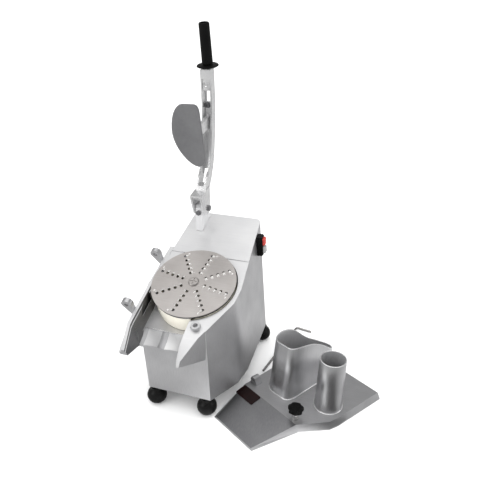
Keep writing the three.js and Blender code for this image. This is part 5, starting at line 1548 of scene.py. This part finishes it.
    def build(self) -> None:
        """Build the lid's pieces."""
        plate = dressed("lid_plate", self.plate_edge, PLATE_ALUMINIUM, Body.LID)
        # Painted shade: large faces of the sloping flap get a darker aluminium.
        low, high = self.flap_slope
        refinished(plate, FLAP_SHADE_ALUMINIUM,
                   lambda face: low < face.normal.z < high and face.area > self.flap_area)
        self.hoppers()
        for node in ("lid_knuckle_front", "lid_knuckle_rear"):
            dressed(node, self.knuckle_edge, PLATE_ALUMINIUM, Body.LID)
        dressed("badge_plate", self.badge_edge, BADGE_PLASTIC, Body.LID)
        dressed("lock_knob", self.knob_edge, BLACK_PLASTIC, Body.KNOB, 3)
        dressed("lock_stem", self.stem_edge, BRIGHT_STEEL, Body.KNOB)
        dressed("hinge_rod", 0.0, BRIGHT_STEEL, Body.ROD)


@dataclass
class SealedDrive:
    """The drive inside the housing, which keeps its CAD shape and gets its finishes."""

    finishes: dict[str, Finish] = field(default_factory=lambda: {
        "base_plate": DULL_STEEL, "disc_shaft": BRIGHT_STEEL, "bearing_housing": WALL_ALUMINIUM,
        "bearing_upper": BRIGHT_STEEL, "bearing_lower": BRIGHT_STEEL,
        "driven_pulley": PAINTED_LIGHT_ALUMINIUM, "motor_pulley": DULL_STEEL, "motor_shaft": BRIGHT_STEEL,
        "drive_belt": RUBBER, "motor": MOTOR_PAINT, "motor_bracket": DULL_STEEL,
        "capacitor": BLACK_PLASTIC, "microswitch": BLACK_PLASTIC, "cable_gland": BLACK_PLASTIC})

    def build(self) -> None:
        """Give each sealed node its finish."""
        for node, finish in self.finishes.items():
            for slot in frame["nodes"][node].material_slots:
                slot.link = "OBJECT"
                slot.material = finish.material()
            log.info("%s: CAD shape in %s", node, finish.name)


# Surroundings, in metres

@dataclass
class Studio:
    """The pale floor, the soft lights and the camera.

    What metal mirrors of the floor is a painted reflection: a table of grey by angle about a place
    near the lid, and further out the greys of the two sides. The room's band has its middle, its reach
    and its depth.
    Each light has its place, what it points at, its side and its power.
    """

    camera_at: Point = (0.420415, -0.832915, 0.872704)
    camera_to: Point = (0.084635, 0.199144, 0.366984)
    lens: float = 37.89
    sensor: float = 36.0
    floor_size: float = 80.0
    floor_height: float = -0.0004
    floor_rough: float = 0.9
    floor_gloss: float = 0.1
    white: float = 0.95
    bands_about: Point = (0.24, -0.08, 0.0)
    reflection_bands: Curve = (
        (-180.0, 0.34), (-168.0, 0.85), (-144.0, 1.0), (-132.0, 0.5), (-122.0, 0.06), (-70.0, 0.04),
        (-40.0, 0.24), (5.0, 0.34), (50.0, 0.42), (85.0, 0.62), (115.0, 0.5), (150.0, 0.12),
        (180.0, 0.3))
    bands_reach: Pair = (0.3, 0.46)
    mirrored: Pair = (0.37, 0.25)
    dark_side: Point = (0.87, -0.5, 0.0)
    horizon: float = 0.22
    zenith: float = 0.34
    zenith_power: float = 6.0
    band: Point = (0.66, 0.22, 0.13)
    strength: float = 1.6
    lights: tuple[tuple[str, Point, Point, float, float], ...] = (
        ("overhead", (-0.3, 0.2, 2.3), (0.0, 0.0, 0.2), 2.2, 6.0),
        ("front_left", (-1.8, -1.9, 1.5), (0.0, 0.0, 0.25), 1.0, 9.0),
        ("right", (2.3, 0.4, 1.3), (0.0, 0.0, 0.2), 1.0, 5.0))

    def floor(self) -> None:
        """Lay the floor: white, and where metal mirrors it a painted reflection of greys, with lighter
        and darker sides.
        """
        bpy.ops.mesh.primitive_plane_add(size=self.floor_size, location=(0.0, 0.0, self.floor_height))
        floor = bpy.context.object
        floor.name = "studio_floor"
        made = bpy.data.materials.new("studio_floor")
        made.use_nodes = True
        kit = NodeKit(made.node_tree)
        shader = made.node_tree.nodes["Principled BSDF"].inputs
        shader["Roughness"].default_value = self.floor_rough
        shader["Specular IOR Level"].default_value = self.floor_gloss
        place = kit.node("ShaderNodeNewGeometry").outputs["Position"]
        away = kit.node("ShaderNodeVectorMath", {0: place, 1: self.bands_about},
                        operation="SUBTRACT").outputs[0]
        parts = kit.node("ShaderNodeSeparateXYZ", {0: away}).outputs
        turn = kit.math("ARCTAN2", parts["Y"], parts["X"])
        ramp = kit.node("ShaderNodeValToRGB", {"Fac": kit.ranged(turn, 0.0, 1.0, -math.pi, math.pi)})
        stops = ramp.color_ramp.elements
        while len(stops) < len(self.reflection_bands):
            stops.new(0.5)
        for stop, (degrees, _) in zip(stops, self.reflection_bands):
            stop.position = (degrees + 180.0) / 360.0
        for stop, (_, grey) in zip(stops, self.reflection_bands):
            stop.color = (grey, grey, grey, 1.0)
        far = kit.node("ShaderNodeVectorMath", {0: away}, operation="LENGTH").outputs["Value"]
        unit = kit.node("ShaderNodeVectorMath", {0: place}, operation="NORMALIZE").outputs[0]
        side = kit.node("ShaderNodeVectorMath", {0: unit, 1: self.dark_side},
                        operation="DOT_PRODUCT").outputs["Value"]
        # Painted reflection: only glossy rays see these greys, which put bands and streaks on the metal.
        reflection_bands = kit.mixed(kit.ranged(far, 0.0, 1.0, *self.bands_reach), ramp.outputs["Color"],
                          kit.ranged(side, *self.mirrored, -1.0, 1.0))
        glossy = kit.node("ShaderNodeLightPath").outputs["Is Glossy Ray"]
        kit.feed(shader["Base Color"], kit.mixed(glossy, self.white, reflection_bands))
        floor.data.materials.append(made)

    def light(self, name: str, at: Point, towards: Point, size: float, power: float) -> None:
        """Hang a square soft light.

        Args:
            name: The light's name.
            at: Where it hangs.
            towards: What it points at.
            size: Its side in metres.
            power: Its power in watts.
        """
        data = bpy.data.lights.new(name, "AREA")
        data.size = size
        data.energy = power
        lamp = added(name, data)
        lamp.location = at
        lamp.rotation_euler = (Vector(towards) - Vector(at)).to_track_quat("-Z", "Y").to_euler()

    def surroundings(self) -> None:
        """Light the room: evenly white, but grey with a darker band where metal mirrors it."""
        world = bpy.data.worlds.new("studio")
        bpy.context.scene.world = world
        world.use_nodes = True
        kit = NodeKit(world.node_tree)
        background = world.node_tree.nodes["Background"].inputs
        place = kit.node("ShaderNodeTexCoord").outputs["Generated"]
        height = kit.node("ShaderNodeSeparateXYZ", {0: place}).outputs["Z"]
        middle, reach, depth = self.band
        away = kit.math("DIVIDE", kit.math("SUBTRACT", height, middle), reach)
        dip = kit.math("SUBTRACT", 1.0, kit.math("MULTIPLY", away, away))
        dip = kit.math("MULTIPLY", kit.math("MAXIMUM", dip, 0.0), depth)
        high = kit.math("POWER", kit.math("MAXIMUM", height, 0.0), self.zenith_power)
        rising = kit.math("ADD", kit.math("MULTIPLY", high, self.zenith), self.horizon)
        glossy = kit.node("ShaderNodeLightPath").outputs["Is Glossy Ray"]
        kit.feed(background["Color"], kit.mixed(glossy, 1.0, kit.math("SUBTRACT", rising, dip)))
        background["Strength"].default_value = self.strength

    def camera(self) -> None:
        """Set the camera where the photograph was taken."""
        data = bpy.data.cameras.new("camera")
        data.lens = self.lens
        data.sensor_width = self.sensor
        eye = added("camera", data)
        at, to = (Vector(place) + LAYOUT.shift() for place in (self.camera_at, self.camera_to))
        eye.location = at
        eye.rotation_euler = (to - at).to_track_quat("-Z", "Y").to_euler()
        bpy.context.scene.camera = eye

    def build(self) -> None:
        """Set the studio up."""
        self.floor()
        self.surroundings()
        for lamp in self.lights:
            self.light(*lamp)
        bpy.context.scene.view_settings.view_transform = "Standard"
        self.camera()


def main() -> None:
    """Set up logging and the studio, then build every sub-assembly in order."""
    logging.basicConfig(level=logging.INFO, format="%(message)s")
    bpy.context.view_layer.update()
    Studio().build()
    for part in (HousingWork(), GratingDisc(), PressingLever(), SwitchUnit(), HopperLid(),
                 SealedDrive()):
        part.build()


if __name__ == "__main__":
    main()
